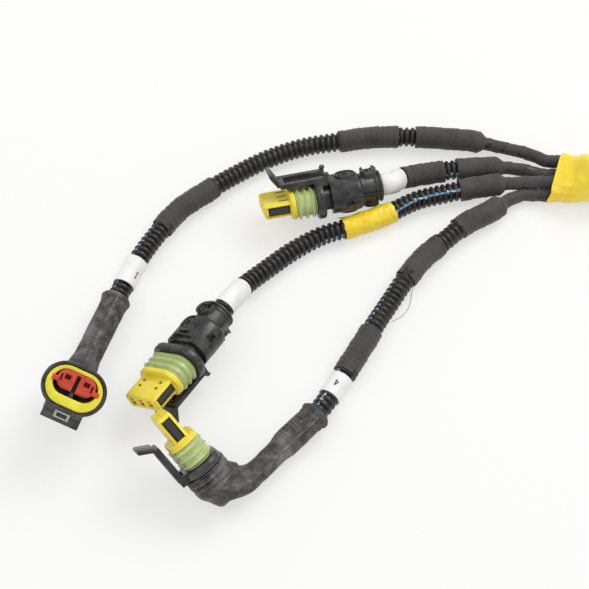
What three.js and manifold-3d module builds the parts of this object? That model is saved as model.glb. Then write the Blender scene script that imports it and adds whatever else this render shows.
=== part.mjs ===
import * as THREE from 'three';
import { mergeVertices } from 'three/addons/utils/BufferGeometryUtils.js';
import Module from 'manifold-3d';

// Wiring harness: four sealed branches fan out of one taped breakout on a short trunk.
// Millimetres, +Z up, standing on z = 0.

const wasm = await Module();
wasm.setup();

// Driving dimensions

const gap = 0.3;                 // clearance between pieces that touch
const woundGap = 0.25;           // between a conduit and what is wound on it

const conduitD = 10;             // corrugated conduit of a branch, outside
const bundleD = 6.2;             // taped wires where they leave the breakout
const trunkD = 21;               // conduit of the trunk, outside
const tapeWall = 0.55;           // fabric tape wound over a conduit
const labelWall = 0.35;          // paper label wrapped round a conduit
const tubeSides = 12;
const trunkSides = 12;

const breakout = {
  length: 46, taperLength: 14,
  mouthWidth: 28, mouthHeight: 11.4, mouthSlant: 0.36,
  wall: 1.2, boreDepth: 24,
};

// three cavities in a row, green seal, yellow lock
const slim = {
  ways: 3, rows: 1, pitch: 6, rowPitch: 0,
  flangeWidth: 29.5, flangeHeight: 18.2, flangeLength: 4,
  spigotWidth: 18.4, spigotHeight: 11, spigotLength: 10,
  sealWidth: 27, sealHeight: 15.7, sealLength: 10.6, sealWall: 2.2, sealRidges: 3, sealGroove: 1.1,
  collarWidth: 25.4, collarHeight: 14.2, collarLength: 2.4,
  noseWidth: 20.6, noseHeight: 7.4, noseLength: 13.4, noseWall: 1.1, noseChamfer: 1.2,
  cavityWidth: 3.2, cavityHeight: 2.8, cavityDepth: Infinity,
  contactWidth: 2.6, contactHeight: 2.2, contactLength: 18,
  latchWidth: 14.4, railWidth: 2.2, railThickness: 2.2, railHeight: 9.6, railReach: 20.6,
  tabLength: 7.4, tabThickness: 2, tabAngle: 58, postHeight: 13.8, latchSetback: 3.4,
};

// the same connector where a rubber boot covers its back
const slimBooted = { ...slim, spigotLength: 6, postHeight: 0, latchSetback: 0 };

// two rows of six cavities for the trunk's circuits, the same family
const wide = {
  ...slim,
  ways: 6, rows: 2, pitch: 6, rowPitch: 6,
  flangeWidth: 50, flangeHeight: 26, flangeLength: 4.5,
  spigotWidth: 38, spigotHeight: 19, spigotLength: 12,
  sealWidth: 46.6, sealHeight: 24.6, sealLength: 11, sealWall: 2.3,
  collarWidth: 45, collarHeight: 23.6,
  noseWidth: 39, noseHeight: 15.4, noseLength: 14, noseWall: 1.2, cavityDepth: 2.5,
  latchWidth: 20, railHeight: 13.6, postHeight: 0, latchSetback: 0,
};

// two cavities inside a shroud, yellow ring, red lock
const shrouded = {
  pitch: 9, flangeWidth: 28.6, flangeHeight: 19.6, flangeLength: 4,
  spigotWidth: 20, spigotHeight: 12.6, spigotLength: 6,
  shroudWidth: 29.4, shroudHeight: 21.4, shroudLength: 18, shroudWall: 1.4,
  ringLength: 10, ringWall: 3.6, ringMouth: 1.2,
  openingWidth: 21.8, openingHeight: 12, openingShift: -1.9,
  blockWidth: 15.2, blockHeight: 6.4, blockShift: -2.6,
  lockWidth: 18, lockHeight: 9, lockLength: 11, lockRecess: 0.7,
  barWidth: 1.9, windowWidth: 3.4, windowHeight: 2.6, windowShift: -1,
  slotWidth: 0.8, slotHeight: 3, slotOffset: 7.3,
  earWidth: 2.2, earHeight: 2.4,
  latchWidth: 17.4, railHeight: 10.9, railReach: 21, railWidth: 2.4, railThickness: 1.8,
  tabLength: 3.9, tabThickness: 2, tabAngle: 78, tabWindow: [4.6, 2.6], latchSetback: 0,
  contactWidth: 2.8, contactHeight: 2.0, contactLength: 13,
};

// clip-on backshell in two halves
const shell = {
  width: 23.4, height: 17.4, length: 16.2, standoff: 3.8, shoulder: 2.2,
  neckD: 15.8, neckLength: 10.4, conduitDepth: 8,
  bossLength: 7, bossWidth: 4.4, bossRise: 1.1, bossPlace: 9,
  clipLength: 6.4, clipWidth: 8.4, latchClipRise: 2, keyClipRise: 0.5,
  windowLength: 4.2, windowHeight: 2.2, windowDepth: 1,
  passageD: 9,
};

// rubber elbow boot
const boot = {
  wall: 1.8, rimD: 14.4, rimLength: 3, tailD: 12.8, conduitDepth: 14,
  elbowD: 15, kneeWidth: 21, kneeHeight: 18,
  cupWidth: 27.6, cupHeight: 20, cupLength: 9,
};

// where each boot's waist ends and where it bends, as shares of its length
const bends = {
  a: { waistD: 12.8, waistEnd: 0.6, elbowAt: 0.72, kneeAt: 0.8 },
  d: { waistD: 10.8, waistEnd: 0.53, elbowAt: 0.65, kneeAt: 0.76 },
};

// rubber boot between the trunk and its connector
const trunkBoot = { wall: 2, rimD: 25.6, tailD: 24.6, cupWidth: 44, cupHeight: 26, length: 44, cupLength: 12, conduitDepth: 16 };

// Where things lie on the surface: x to the right, y away from the viewer.

const at = (x, y, z) => new THREE.Vector3(x, y, z);

const place = {
  a: { flange: at(-100.2, -61, 21), axis: at(0.2, -0.44, 0.875), latch: at(-0.434, -0.78, -0.45) },
  b: { flange: at(11.5, 48.4, 13.9), axis: at(-0.977, -0.214, 0), latch: at(-0.123, 0.56, 0.819) },
  c: { flange: at(-53, -44.8, 17.4), axis: at(-0.548, -0.83, 0.1), latch: at(0.46, -0.328, -0.825) },
  d: { flange: at(-41.7, -96.1, 18.1), axis: at(-0.617, 0.574, 0.538), latch: at(-0.735, -0.655, -0.16) },
};

const trunkStart = at(133, 65.4, 6.3);
const trunkAxisY = 61;
const mouthX = (y) => trunkStart.x + (y - trunkStart.y) * breakout.mouthSlant;
const fromMouth = (y, z) => [at(mouthX(y) - 1.6, y, z), at(mouthX(y) - 6, y + 0.1, z)];
const trunkTurnX = 196;
const trunkTurnRadius = 92;
const trunkTurnAngle = 64;
const trunkRise = 1.2;            // the trunk's conduit rises a little to its boot

// Solids

const steps = (n) => Array.from({ length: n }, (_, i) => i);

function closedGeometry(vertices, faces) {
  const geometry = new THREE.BufferGeometry();
  geometry.setAttribute('position', new THREE.Float32BufferAttribute(vertices.flatMap((v) => [v.x, v.y, v.z]), 3));
  geometry.setIndex(faces.flat());
  return geometry;
}

// Rings of equal count, each counter-clockwise about the way they follow each other.
function loft(rings) {
  const n = rings[0].length;
  const vertices = rings.flat();
  const faces = [];
  for (let i = 0; i + 1 < rings.length; i += 1) {
    for (let j = 0; j < n; j += 1) {
      const k = (j + 1) % n;
      const a = i * n + j, b = i * n + k, c = (i + 1) * n + k, d = (i + 1) * n + j;
      faces.push([a, b, c], [a, c, d]);
    }
  }
  for (const [ring, forward] of [[0, false], [rings.length - 1, true]]) {
    const centre = vertices.length;
    vertices.push(rings[ring].reduce((sum, v) => sum.add(v), at(0, 0, 0)).divideScalar(n));
    for (let j = 0; j < n; j += 1) {
      const k = (j + 1) % n;
      faces.push(forward ? [centre, ring * n + j, ring * n + k] : [centre, ring * n + k, ring * n + j]);
    }
  }
  return closedGeometry(vertices, faces);
}

// A hollow sleeve: outer rings forward, inner rings back, closed on itself.
function sleeveLoft(outer, inner) {
  const rings = [...outer, ...[...inner].reverse()];
  const n = outer[0].length;
  const vertices = rings.flat();
  const faces = [];
  for (let i = 0; i < rings.length; i += 1) {
    for (let j = 0; j < n; j += 1) {
      const k = (j + 1) % n, next = (i + 1) % rings.length;
      const a = i * n + j, b = i * n + k, c = next * n + k, d = next * n + j;
      faces.push([a, b, c], [a, c, d]);
    }
  }
  return closedGeometry(vertices, faces);
}

function solid(geometry) {
  const bare = geometry.clone();
  bare.deleteAttribute('normal');
  bare.deleteAttribute('uv');
  const merged = mergeVertices(bare, 1e-4);
  return new wasm.Manifold(new wasm.Mesh({
    numProp: 3,
    vertProperties: new Float32Array(merged.attributes.position.array),
    triVerts: new Uint32Array(merged.index.array),
  }));
}

function geometryOf(body) {
  const mesh = body.getMesh();
  const geometry = new THREE.BufferGeometry();
  geometry.setAttribute('position', new THREE.BufferAttribute(mesh.vertProperties, 3));
  geometry.setIndex(new THREE.BufferAttribute(mesh.triVerts, 1));
  geometry.computeVertexNormals();
  return geometry;
}

// Outline in the y-z plane of a connector: a rectangle with round corners, a stadium or a circle.
function outline(width, height, radius = Math.min(width, height) / 2, perCorner = 3) {
  const r = Math.min(radius, width / 2, height / 2);
  const points = [];
  for (const [quarter, sy, sz] of [[0, 1, 1], [1, -1, 1], [2, -1, -1], [3, 1, -1]]) {
    for (let i = 0; i <= perCorner; i += 1) {
      const angle = (quarter + i / perCorner) * Math.PI / 2;
      points.push([sy * (width / 2 - r) + r * Math.cos(angle), sz * (height / 2 - r) + r * Math.sin(angle)]);
    }
  }
  return points;
}

// Sections along +x: { x, w, h, r, z } with sizes across y and z.
function body(sections, perCorner) {
  return solid(loft(sections.map((s) =>
    outline(s.w, s.h, s.r, perCorner).map(([y, z]) => at(s.x, y, z + (s.z ?? 0))))));
}

const slab = (x0, x1, w, h, r, z = 0, perCorner = 3) =>
  body([{ x: x0, w, h, r, z }, { x: x1, w, h, r, z }], perCorner);

function box(x0, x1, y0, y1, z0, z1) {
  const geometry = new THREE.BoxGeometry(x1 - x0, y1 - y0, z1 - z0);
  geometry.translate((x0 + x1) / 2, (y0 + y1) / 2, (z0 + z1) / 2);
  return solid(geometry);
}

const joined = (parts) => parts.reduce((a, b) => a.add(b));
const cut = (from, tools) => tools.reduce((a, b) => a.subtract(b), from);

// Finishes

const finish = (color, roughness, metalness = 0) => new THREE.MeshStandardMaterial({ color, roughness, metalness });
const look = {
  conduit: finish(0x2b2a29, 0.5),
  tape: finish(0x4a4744, 0.95),
  yellowTape: finish(0xe0b62c, 0.6),
  label: finish(0xe9e9e4, 0.7),
  rubber: finish(0x5a5856, 0.85),
  housing: finish(0x302f31, 0.55),
  sealGreen: finish(0xa9c37c, 0.6),
  sealYellow: finish(0xe6dd55, 0.6),
  lockYellow: finish(0xeed94a, 0.5),
  lockRed: finish(0xd2543a, 0.5),
  contact: finish(0xb9b6ae, 0.3, 1),
};

function piece(name, shape, material) {
  const mesh = new THREE.Mesh(shape instanceof THREE.BufferGeometry ? shape : geometryOf(shape), material);
  mesh.name = name;
  return mesh;
}

// Routes: one chain of stations per branch, shared by everything that is threaded or wound on it.

class Route {
  constructor(points, up, step) {
    const curve = new THREE.CatmullRomCurve3(points, false, 'centripetal');
    curve.arcLengthDivisions = 400;
    this.length = curve.getLength();
    this.up = up;
    const count = Math.ceil(this.length / step);
    this.stops = steps(count + 1).map((i) => ({
      s: i * this.length / count,
      point: curve.getPointAt(i / count),
      tangent: curve.getTangentAt(i / count),
    }));
  }

  // The frame at a length along the chain, straight between stations.
  at(s) {
    const { stops } = this;
    const i = Math.min(stops.length - 2, Math.max(0, stops.findIndex((stop) => stop.s > s) - 1));
    const last = s >= stops[stops.length - 1].s ? stops.length - 2 : i;
    const [from, to] = [stops[last], stops[last + 1]];
    const t = (s - from.s) / (to.s - from.s);
    const point = from.point.clone().lerp(to.point, t);
    const tangent = from.tangent.clone().lerp(to.tangent, t).normalize();
    const v = this.up.clone().addScaledVector(tangent, -this.up.dot(tangent)).normalize();
    return { point, tangent, u: v.clone().cross(tangent), v };
  }

  nearest(target) {
    const samples = steps(401).map((i) => i * this.length / 400);
    return samples.reduce((best, s) =>
      (this.at(s).point.distanceTo(target) < this.at(best).point.distanceTo(target) ? s : best));
  }

  between(s0, s1) {
    return [s0, ...this.stops.map((stop) => stop.s).filter((s) => s > s0 + 0.3 && s < s1 - 0.3), s1];
  }

  ring(s, section) {
    const { point, u, v } = this.at(s);
    return section.map(([y, z]) => point.clone().addScaledVector(u, y).addScaledVector(v, z));
  }
}

const circle = (radius, sides) => steps(sides).map((i) => {
  const angle = (i + 0.5) * 2 * Math.PI / sides;
  return [radius * Math.cos(angle), radius * Math.sin(angle)];
});

function tube(route, s0, s1, diameter, sides = tubeSides) {
  return loft(route.between(s0, s1).map((s) => route.ring(s, circle(diameter / 2, sides))));
}

// What is wound over the route, its inside following the profile that it covers.
function wrap(route, stations, wall, sides = tubeSides) {
  const clear = woundGap / Math.cos(Math.PI / sides);
  return sleeveLoft(
    stations.map(([s, d]) => route.ring(s, circle(d / 2 + clear + wall, sides))),
    stations.map(([s, d]) => route.ring(s, circle(d / 2 + clear, sides))),
  );
}

const wrapOn = (route, s0, s1, diameter, wall) =>
  wrap(route, route.between(s0, s1).map((s) => [s, diameter]), wall);

// First tape of a branch: from the thin bundle up onto the conduit's end.
function endTape(route, s0, start, s1) {
  const onConduit = route.between(start, s1).map((s) => [s, conduitD]);
  return wrap(route, [[s0, bundleD], [start - 4, bundleD], [start - 1.2, conduitD], ...onConduit.slice(1)], tapeWall);
}

// Connector, seen along +x from its wires to its mating face, the latch on +z.

function latchParts(p) {
  const rootX = -p.flangeLength / 2 - p.latchSetback;
  const half = p.latchWidth / 2;
  const top = p.railHeight + p.railThickness;
  const frontX = -p.flangeLength / 2 + p.railReach;
  const rails = [-1, 1].flatMap((side) => {
    const outer = side * half, inner = side * (half - p.railWidth);
    const [y0, y1] = [Math.min(outer, inner), Math.max(outer, inner)];
    return [
      box(rootX, frontX, y0, y1, p.railHeight, top),
      ...(p.postHeight ? [box(rootX, rootX + 2, y0, y1, p.railHeight, p.postHeight)] : []),
    ];
  });
  const tab = new THREE.BoxGeometry(p.tabLength, p.latchWidth, p.tabThickness);
  tab.translate(p.tabLength / 2, 0, -p.tabThickness / 2);
  tab.rotateY(-p.tabAngle * Math.PI / 180);
  tab.translate(frontX - 0.4, 0, top - 0.2);
  return [
    ...rails,
    box(frontX - 2.6, frontX, -half, half, p.railHeight, top),
    box(rootX, p.flangeLength / 2, -half, half, p.flangeHeight / 2 - 1.5, top),
    solid(tab),
  ];
}

function cavityPlaces(p) {
  return steps(p.ways * p.rows).map((i) => ({
    y: ((i % p.ways) - (p.ways - 1) / 2) * p.pitch,
    z: (Math.floor(i / p.ways) - (p.rows - 1) / 2) * p.rowPitch,
  }));
}

function plugStations(p) {
  const sealStart = p.flangeLength / 2;
  const collarStart = sealStart + p.sealLength;
  const noseStart = collarStart + p.collarLength;
  return { sealStart, collarStart, noseStart, noseEnd: noseStart + p.noseLength };
}

// The housing inside the seal.
const coreOf = (p) => [p.sealWidth - 2 * p.sealWall, p.sealHeight - 2 * p.sealWall];

function plugHousing(p) {
  const st = plugStations(p);
  const back = -p.flangeLength / 2;
  const blockW = p.noseWidth - 2 * (p.noseWall + gap);
  const blockH = p.noseHeight - 2 * (p.noseWall + gap);
  const blockEnd = st.noseEnd - p.noseWall - gap;
  const bulk = joined([
    slab(back - p.spigotLength, back + 1, p.spigotWidth, p.spigotHeight, p.spigotHeight / 3),
    body([
      { x: back, w: p.flangeWidth - 1, h: p.flangeHeight - 1 },
      { x: back + 0.5, w: p.flangeWidth, h: p.flangeHeight },
      { x: -back - 0.5, w: p.flangeWidth, h: p.flangeHeight },
      { x: -back, w: p.flangeWidth - 1, h: p.flangeHeight - 1 },
    ]),
    slab(-back - 1, st.collarStart - gap, ...coreOf(p)),
    slab(st.collarStart - 1, blockEnd, blockW, blockH, 0.8, 0, 2),
    ...latchParts(p),
  ]);
  const cavityBack = Math.max(back - p.spigotLength - 1, blockEnd - p.cavityDepth);
  return cut(bulk, cavityPlaces(p).map(({ y, z }) => box(
    cavityBack, blockEnd + 1,
    y - p.cavityWidth / 2, y + p.cavityWidth / 2,
    z - p.cavityHeight / 2, z + p.cavityHeight / 2,
  )));
}

function ringSeal(p) {
  const st = plugStations(p);
  const x0 = st.sealStart + gap, x1 = st.collarStart - gap;
  const ridge = (x1 - x0) / p.sealRidges;
  const sections = [];
  for (const i of steps(p.sealRidges)) {
    const from = x0 + i * ridge;
    for (const [share, drop] of [[0, p.sealGroove], [0.3, 0], [0.7, 0]]) {
      sections.push({ x: from + share * ridge, w: p.sealWidth - 2 * drop, h: p.sealHeight - 2 * drop });
    }
  }
  sections.push({ x: x1, w: p.sealWidth - 2 * p.sealGroove, h: p.sealHeight - 2 * p.sealGroove });
  return cut(body(sections), [slab(x0 - 1, x1 + 1, ...coreOf(p).map((size) => size + 3 * gap))]);
}

// The coloured lock: a collar against the seal and a shell over the terminal block.
function plugLock(p) {
  const st = plugStations(p);
  const c = p.noseChamfer;
  const half = p.noseHeight / 2;
  const pocketEnd = st.noseEnd - p.noseWall;
  const shellParts = joined([
    slab(st.collarStart, st.noseStart, p.collarWidth, p.collarHeight),
    body([
      { x: st.noseStart - 0.5, w: p.noseWidth, h: p.noseHeight, r: 1.6 },
      { x: st.noseEnd - c, w: p.noseWidth, h: p.noseHeight, r: 1.6 },
      { x: st.noseEnd, w: p.noseWidth - 1.5 * c, h: p.noseHeight - c, r: 1.2 },
    ], 3),
  ]);
  const pocket = slab(
    st.collarStart - 1, pocketEnd,
    p.noseWidth - 2 * p.noseWall, p.noseHeight - 2 * p.noseWall, 0.8, 0, 2,
  );
  const mouths = cavityPlaces(p).flatMap(({ y, z }) => [
    box(pocketEnd - 1, st.noseEnd + 1, y - 1.5, y + 1.5, z - 0.5, z + 1.6),
    box(pocketEnd - 1, st.noseEnd + 1, y - 1.2, y + 1.2, z - 2.2, z - 1.1),
  ]);
  const sideWindows = [-1, 1].map((side) => {
    const wall = side * p.noseWidth / 2;
    return box(st.noseStart + 0.6, st.noseEnd - 1.9, wall - 1.6, wall + 1.6, -2.2, 2.2);
  });
  const keySlots = [-1, 1].flatMap((side) => [2.7, 6.2].map((dx) => box(
    st.noseStart + dx - 0.5, st.noseStart + dx + 0.5,
    side * 5.7 - 1.5, side * 5.7 + 1.5, -half - 1, -half + p.noseWall + 0.2,
  )));
  const latchSlots = [-p.pitch, 0, p.pitch].map((y) =>
    box(st.noseStart + 0.6, st.noseStart + 5, y - 0.5, y + 0.5, half - p.noseWall - 0.2, half + 1));
  return cut(shellParts, [pocket, ...mouths, ...sideWindows, ...keySlots, ...latchSlots]);
}

function contact(p, y, z, frontX) {
  const w = p.contactWidth, h = p.contactHeight;
  const [y0, y1, z0, z1] = [y - w / 2, y + w / 2, z - h / 2, z + h / 2];
  return cut(box(frontX - p.contactLength, frontX, y0, y1, z0, z1), [
    box(frontX - 7, frontX + 1, y0 + 0.5, y1 - 0.5, z0 + 0.5, z1 - 0.5),
  ]);
}

function turned(where) {
  const x = where.axis.clone().normalize();
  const z = where.latch.clone().addScaledVector(x, -where.latch.dot(x)).normalize();
  return new THREE.Matrix4().makeBasis(x, z.clone().cross(x), z);
}

function framed(where, meshes) {
  const group = new THREE.Group();
  group.quaternion.setFromRotationMatrix(turned(where));
  group.position.copy(where.flange);
  group.add(...meshes);
  return group;
}

function plug(name, p, where) {
  const st = plugStations(p);
  const frontX = st.noseEnd - p.noseWall - 3;
  return framed(where, [
    piece(`${name}_housing`, plugHousing(p), look.housing),
    piece(`${name}_ring_seal`, ringSeal(p), look.sealGreen),
    piece(`${name}_lock`, plugLock(p), look.lockYellow),
    ...(p.rows === 1 ? cavityPlaces(p).map(({ y, z }, i) =>
      piece(`${name}_contact_${i + 1}`, contact(p, y, z, frontX), look.contact)) : []),
  ]);
}

// Backshell halves behind a slim plug.
function backshell(name, where) {
  const p = slim;
  const front = -p.flangeLength / 2 - shell.standoff;
  const bodyEnd = front - shell.length;
  const neckEnd = bodyEnd - shell.neckLength;
  const spigotEnd = -p.flangeLength / 2 - p.spigotLength;
  const round = (d) => ({ w: d, h: d });
  const outside = joined([
    body([
      { x: neckEnd, ...round(shell.neckD - 0.8) },
      { x: neckEnd + 0.4, ...round(shell.neckD) },
      { x: bodyEnd + 1, ...round(shell.neckD) },
    ]),
    body([
      { x: bodyEnd, w: shell.width - 4, h: shell.height - 2.6 },
      { x: bodyEnd + shell.shoulder / 2, w: shell.width - 1, h: shell.height - 0.7 },
      { x: bodyEnd + shell.shoulder, w: shell.width, h: shell.height },
      { x: front, w: shell.width, h: shell.height },
    ]),
    ...[-1, 1].flatMap((side) => {
      const z = side * shell.height / 2;
      const boss = new THREE.CylinderGeometry(shell.bossWidth / 2, shell.bossWidth / 2 + 0.5, 2 * shell.bossRise, 12);
      boss.rotateX(side * Math.PI / 2);
      boss.scale(shell.bossLength / shell.bossWidth, 1, 1);
      boss.translate(front - shell.bossPlace, 0, z);
      const clipZ = [side * (shell.neckD / 2 - 1.5), side * (shell.neckD / 2 + (side > 0 ? shell.latchClipRise : shell.keyClipRise))];
      const clipX = (bodyEnd + neckEnd) / 2;
      return [
        solid(boss),
        box(clipX - shell.clipLength / 2, clipX + shell.clipLength / 2,
          -shell.clipWidth / 2, shell.clipWidth / 2, Math.min(...clipZ), Math.max(...clipZ)),
      ];
    }),
  ]);
  const inside = [
    slab(spigotEnd - gap, front + 1, p.spigotWidth + 2 * gap, p.spigotHeight + 2 * gap, p.spigotHeight / 3 + gap),
    slab(neckEnd + shell.conduitDepth, front - 1, shell.passageD, shell.passageD),
    slab(neckEnd - 1, neckEnd + shell.conduitDepth + gap, conduitD + 2.6 * gap, conduitD + 2.6 * gap),
    ...[-1, 1].map((side) => box(
      front - shell.bossPlace - shell.windowLength / 2, front - shell.bossPlace + shell.windowLength / 2,
      side * shell.width / 2 - shell.windowDepth, side * shell.width / 2 + shell.windowDepth,
      -shell.windowHeight / 2, shell.windowHeight / 2,
    )),
  ];
  const whole = cut(outside, inside);
  const far = 60;
  const half = (z0, z1) => whole.intersect(box(neckEnd - 5, front + 5, -far, far, z0, z1));
  return framed(where, [
    piece(`${name}_backshell_latch_half`, half(gap / 2, far), look.housing),
    piece(`${name}_backshell_key_half`, half(-far, -gap / 2), look.housing),
  ]);
}

// Shrouded two-way connector.

function shroudedHousing(p) {
  const back = -p.flangeLength / 2;
  const front = -back + p.shroudLength;
  const wall = 2 * p.shroudWall;
  const base = joined([
    slab(back - p.spigotLength, back + 1, p.spigotWidth, p.spigotHeight, p.spigotHeight / 3),
    slab(back, -back, p.flangeWidth, p.flangeHeight),
    cut(body([
      { x: -back - 1, w: p.shroudWidth - 1, h: p.shroudHeight - 1 },
      { x: -back, w: p.shroudWidth, h: p.shroudHeight },
      { x: front, w: p.shroudWidth, h: p.shroudHeight },
    ]), [slab(-back, front + 1, p.shroudWidth - wall, p.shroudHeight - wall)]),
    slab(-back - 1, front - p.lockRecess - 1.6, p.blockWidth, p.blockHeight, 1, p.blockShift, 2),
    ...latchParts(p),
  ]);
  const tabX = back + p.railReach;
  return cut(base, [
    ...[-1, 1].map((side) => box(
      back - p.spigotLength - 1, front + 1,
      side * p.pitch / 2 - 1.7, side * p.pitch / 2 + 1.7,
      p.blockShift + p.windowShift - 1.3, p.blockShift + p.windowShift + 1.3,
    )),
    box(tabX - 4, tabX + 4, -p.tabWindow[0] / 2, p.tabWindow[0] / 2,
      p.railHeight + 0.5, p.railHeight + 0.5 + p.tabWindow[1]),
  ]);
}

function shroudRing(p) {
  const front = p.flangeLength / 2 + p.shroudLength - 0.3;
  const w = p.shroudWidth - 2 * p.shroudWall - 2 * gap;
  const h = p.shroudHeight - 2 * p.shroudWall - 2 * gap;
  return cut(body([
    { x: front - p.ringLength, w, h },
    { x: front - 0.6, w, h },
    { x: front, w: w - 1, h: h - 1 },
  ]), [
    body([
      { x: front - p.ringLength - 1, w: p.openingWidth - 1.6, h: p.openingHeight - 0.8, z: p.openingShift },
      { x: front - 3, w: p.openingWidth - 1.6, h: p.openingHeight - 0.8, z: p.openingShift },
      { x: front + 0.01, w: p.openingWidth, h: p.openingHeight + p.ringMouth, z: p.openingShift },
    ]),
  ]);
}

function shroudLock(p) {
  const front = p.flangeLength / 2 + p.shroudLength - p.lockRecess;
  const back = front - p.lockLength;
  const z = p.blockShift;
  const shellBody = joined([
    body([
      { x: back, w: p.lockWidth, h: p.lockHeight, r: 4.3, z },
      { x: front - 0.5, w: p.lockWidth, h: p.lockHeight, r: 4.3, z },
      { x: front, w: p.lockWidth - 0.8, h: p.lockHeight - 0.8, r: 3.9, z },
    ]),
    box(front - 1.6, front - 0.4, -p.lockWidth / 2 - 0.7, p.lockWidth / 2 + 0.7,
      z + 1.2 - p.earHeight / 2, z + 1.2 + p.earHeight / 2),
  ]);
  return cut(shellBody, [
    slab(back - 1, front - 1.3, p.blockWidth + 2 * gap, p.blockHeight + 2 * gap, 1, z, 2),
    box(front - 1.5, front + 1, -p.barWidth / 2, p.barWidth / 2, z - 3.1, z + p.lockHeight),
    ...[-1, 1].flatMap((side) => [
      box(front - 2, front + 1, side * p.pitch / 2 - p.windowWidth / 2, side * p.pitch / 2 + p.windowWidth / 2,
        z + p.windowShift - p.windowHeight / 2, z + p.windowShift + p.windowHeight / 2),
      box(front - 0.8, front + 1, side * p.slotOffset - p.slotWidth / 2, side * p.slotOffset + p.slotWidth / 2,
        z - p.slotHeight / 2, z + p.slotHeight / 2),
    ]),
  ]);
}

function shroudedConnector(name, p, where) {
  const frontX = p.flangeLength / 2 + p.shroudLength - 4;
  return framed(where, [
    piece(`${name}_housing`, shroudedHousing(p), look.housing),
    piece(`${name}_ring_seal`, shroudRing(p), look.sealYellow),
    piece(`${name}_lock`, shroudLock(p), look.lockRed),
    ...[-1, 1].map((side, i) => piece(
      `${name}_contact_${i + 1}`,
      contact(p, side * p.pitch / 2, p.blockShift + p.windowShift, frontX),
      look.contact,
    )),
  ]);
}

// Elbow boot on the end of a route, from its rim to the connector's flange.
function elbowBoot(route, rimS, p, where, bend) {
  const end = route.length;
  const span = end - rimS;
  const profile = [
    [0, boot.rimD, boot.rimD], [boot.rimLength, boot.rimD, boot.rimD],
    [boot.rimLength + 1, boot.tailD, boot.tailD], [span * 0.3, boot.tailD, boot.tailD],
    [span * 0.37, bend.waistD, bend.waistD], [span * bend.waistEnd, bend.waistD, bend.waistD],
    [span * bend.elbowAt, boot.elbowD, boot.elbowD], [span * bend.kneeAt, boot.kneeWidth, boot.kneeHeight],
    [span - boot.cupLength, boot.cupWidth - 1.4, boot.cupHeight - 0.8],
    [span - boot.cupLength + 1.5, boot.cupWidth, boot.cupHeight], [span, boot.cupWidth, boot.cupHeight],
  ];
  const sizeAt = (d) => {
    const i = Math.max(1, profile.findIndex(([x]) => x >= d - 1e-6));
    const [a, b] = [profile[i - 1], profile[i]];
    const t = (d - a[0]) / (b[0] - a[0]);
    return [a[1] + (b[1] - a[1]) * t, a[2] + (b[2] - a[2]) * t];
  };
  const places = [...profile.map(([d]) => d), ...steps(3).map((i) => span * (bend.waistEnd - 0.08 + 0.13 * i))]
    .filter((d) => d <= span).sort((a, b) => a - b)
    .filter((d, i, all) => i === 0 || d - all[i - 1] > 0.4);
  const fineRoute = route.fine;
  const ringsFor = (list, shrink) => list.map((d) => {
    const [w, h] = sizeAt(Math.min(Math.max(d, 0), span));
    return fineRoute.ring(rimS + d, outline(h - 2 * shrink, w - 2 * shrink, undefined, 3));
  });
  const outside = solid(loft(ringsFor(places, 0)));
  const inner = places.filter((d) => d > boot.conduitDepth + 1 && d < span - p.spigotLength - 1);
  const passage = solid(loft(ringsFor([boot.conduitDepth, ...inner, span - p.spigotLength + 0.5], boot.wall)));
  const bore = solid(loft([-2, ...places.filter((d) => d > 0 && d < boot.conduitDepth), boot.conduitDepth + gap].map(
    (d) => fineRoute.ring(rimS + d, outline(conduitD + 3.4 * gap, conduitD + 3.4 * gap, undefined, 3)))));
  const back = -p.flangeLength / 2;
  const pocket = slab(back - p.spigotLength - gap, back + 1,
    p.spigotWidth + 2 * gap, p.spigotHeight + 2 * gap, p.spigotHeight / 3 + gap);
  return cut(outside, [passage, bore, pocket.transform(turned(where).setPosition(where.flange).elements)]);
}

// The four branches.

const a = at, up = at(0, 0, 1);

function framedEnd(where, back) {
  return where.flange.clone().addScaledVector(where.axis.clone().normalize(), -back);
}

const flangeBack = slim.flangeLength / 2 + gap;
const neckBack = slim.flangeLength / 2 + shell.standoff + shell.length + shell.neckLength;
const widthOf = (where) => where.latch.clone().cross(where.axis).normalize();

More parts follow.
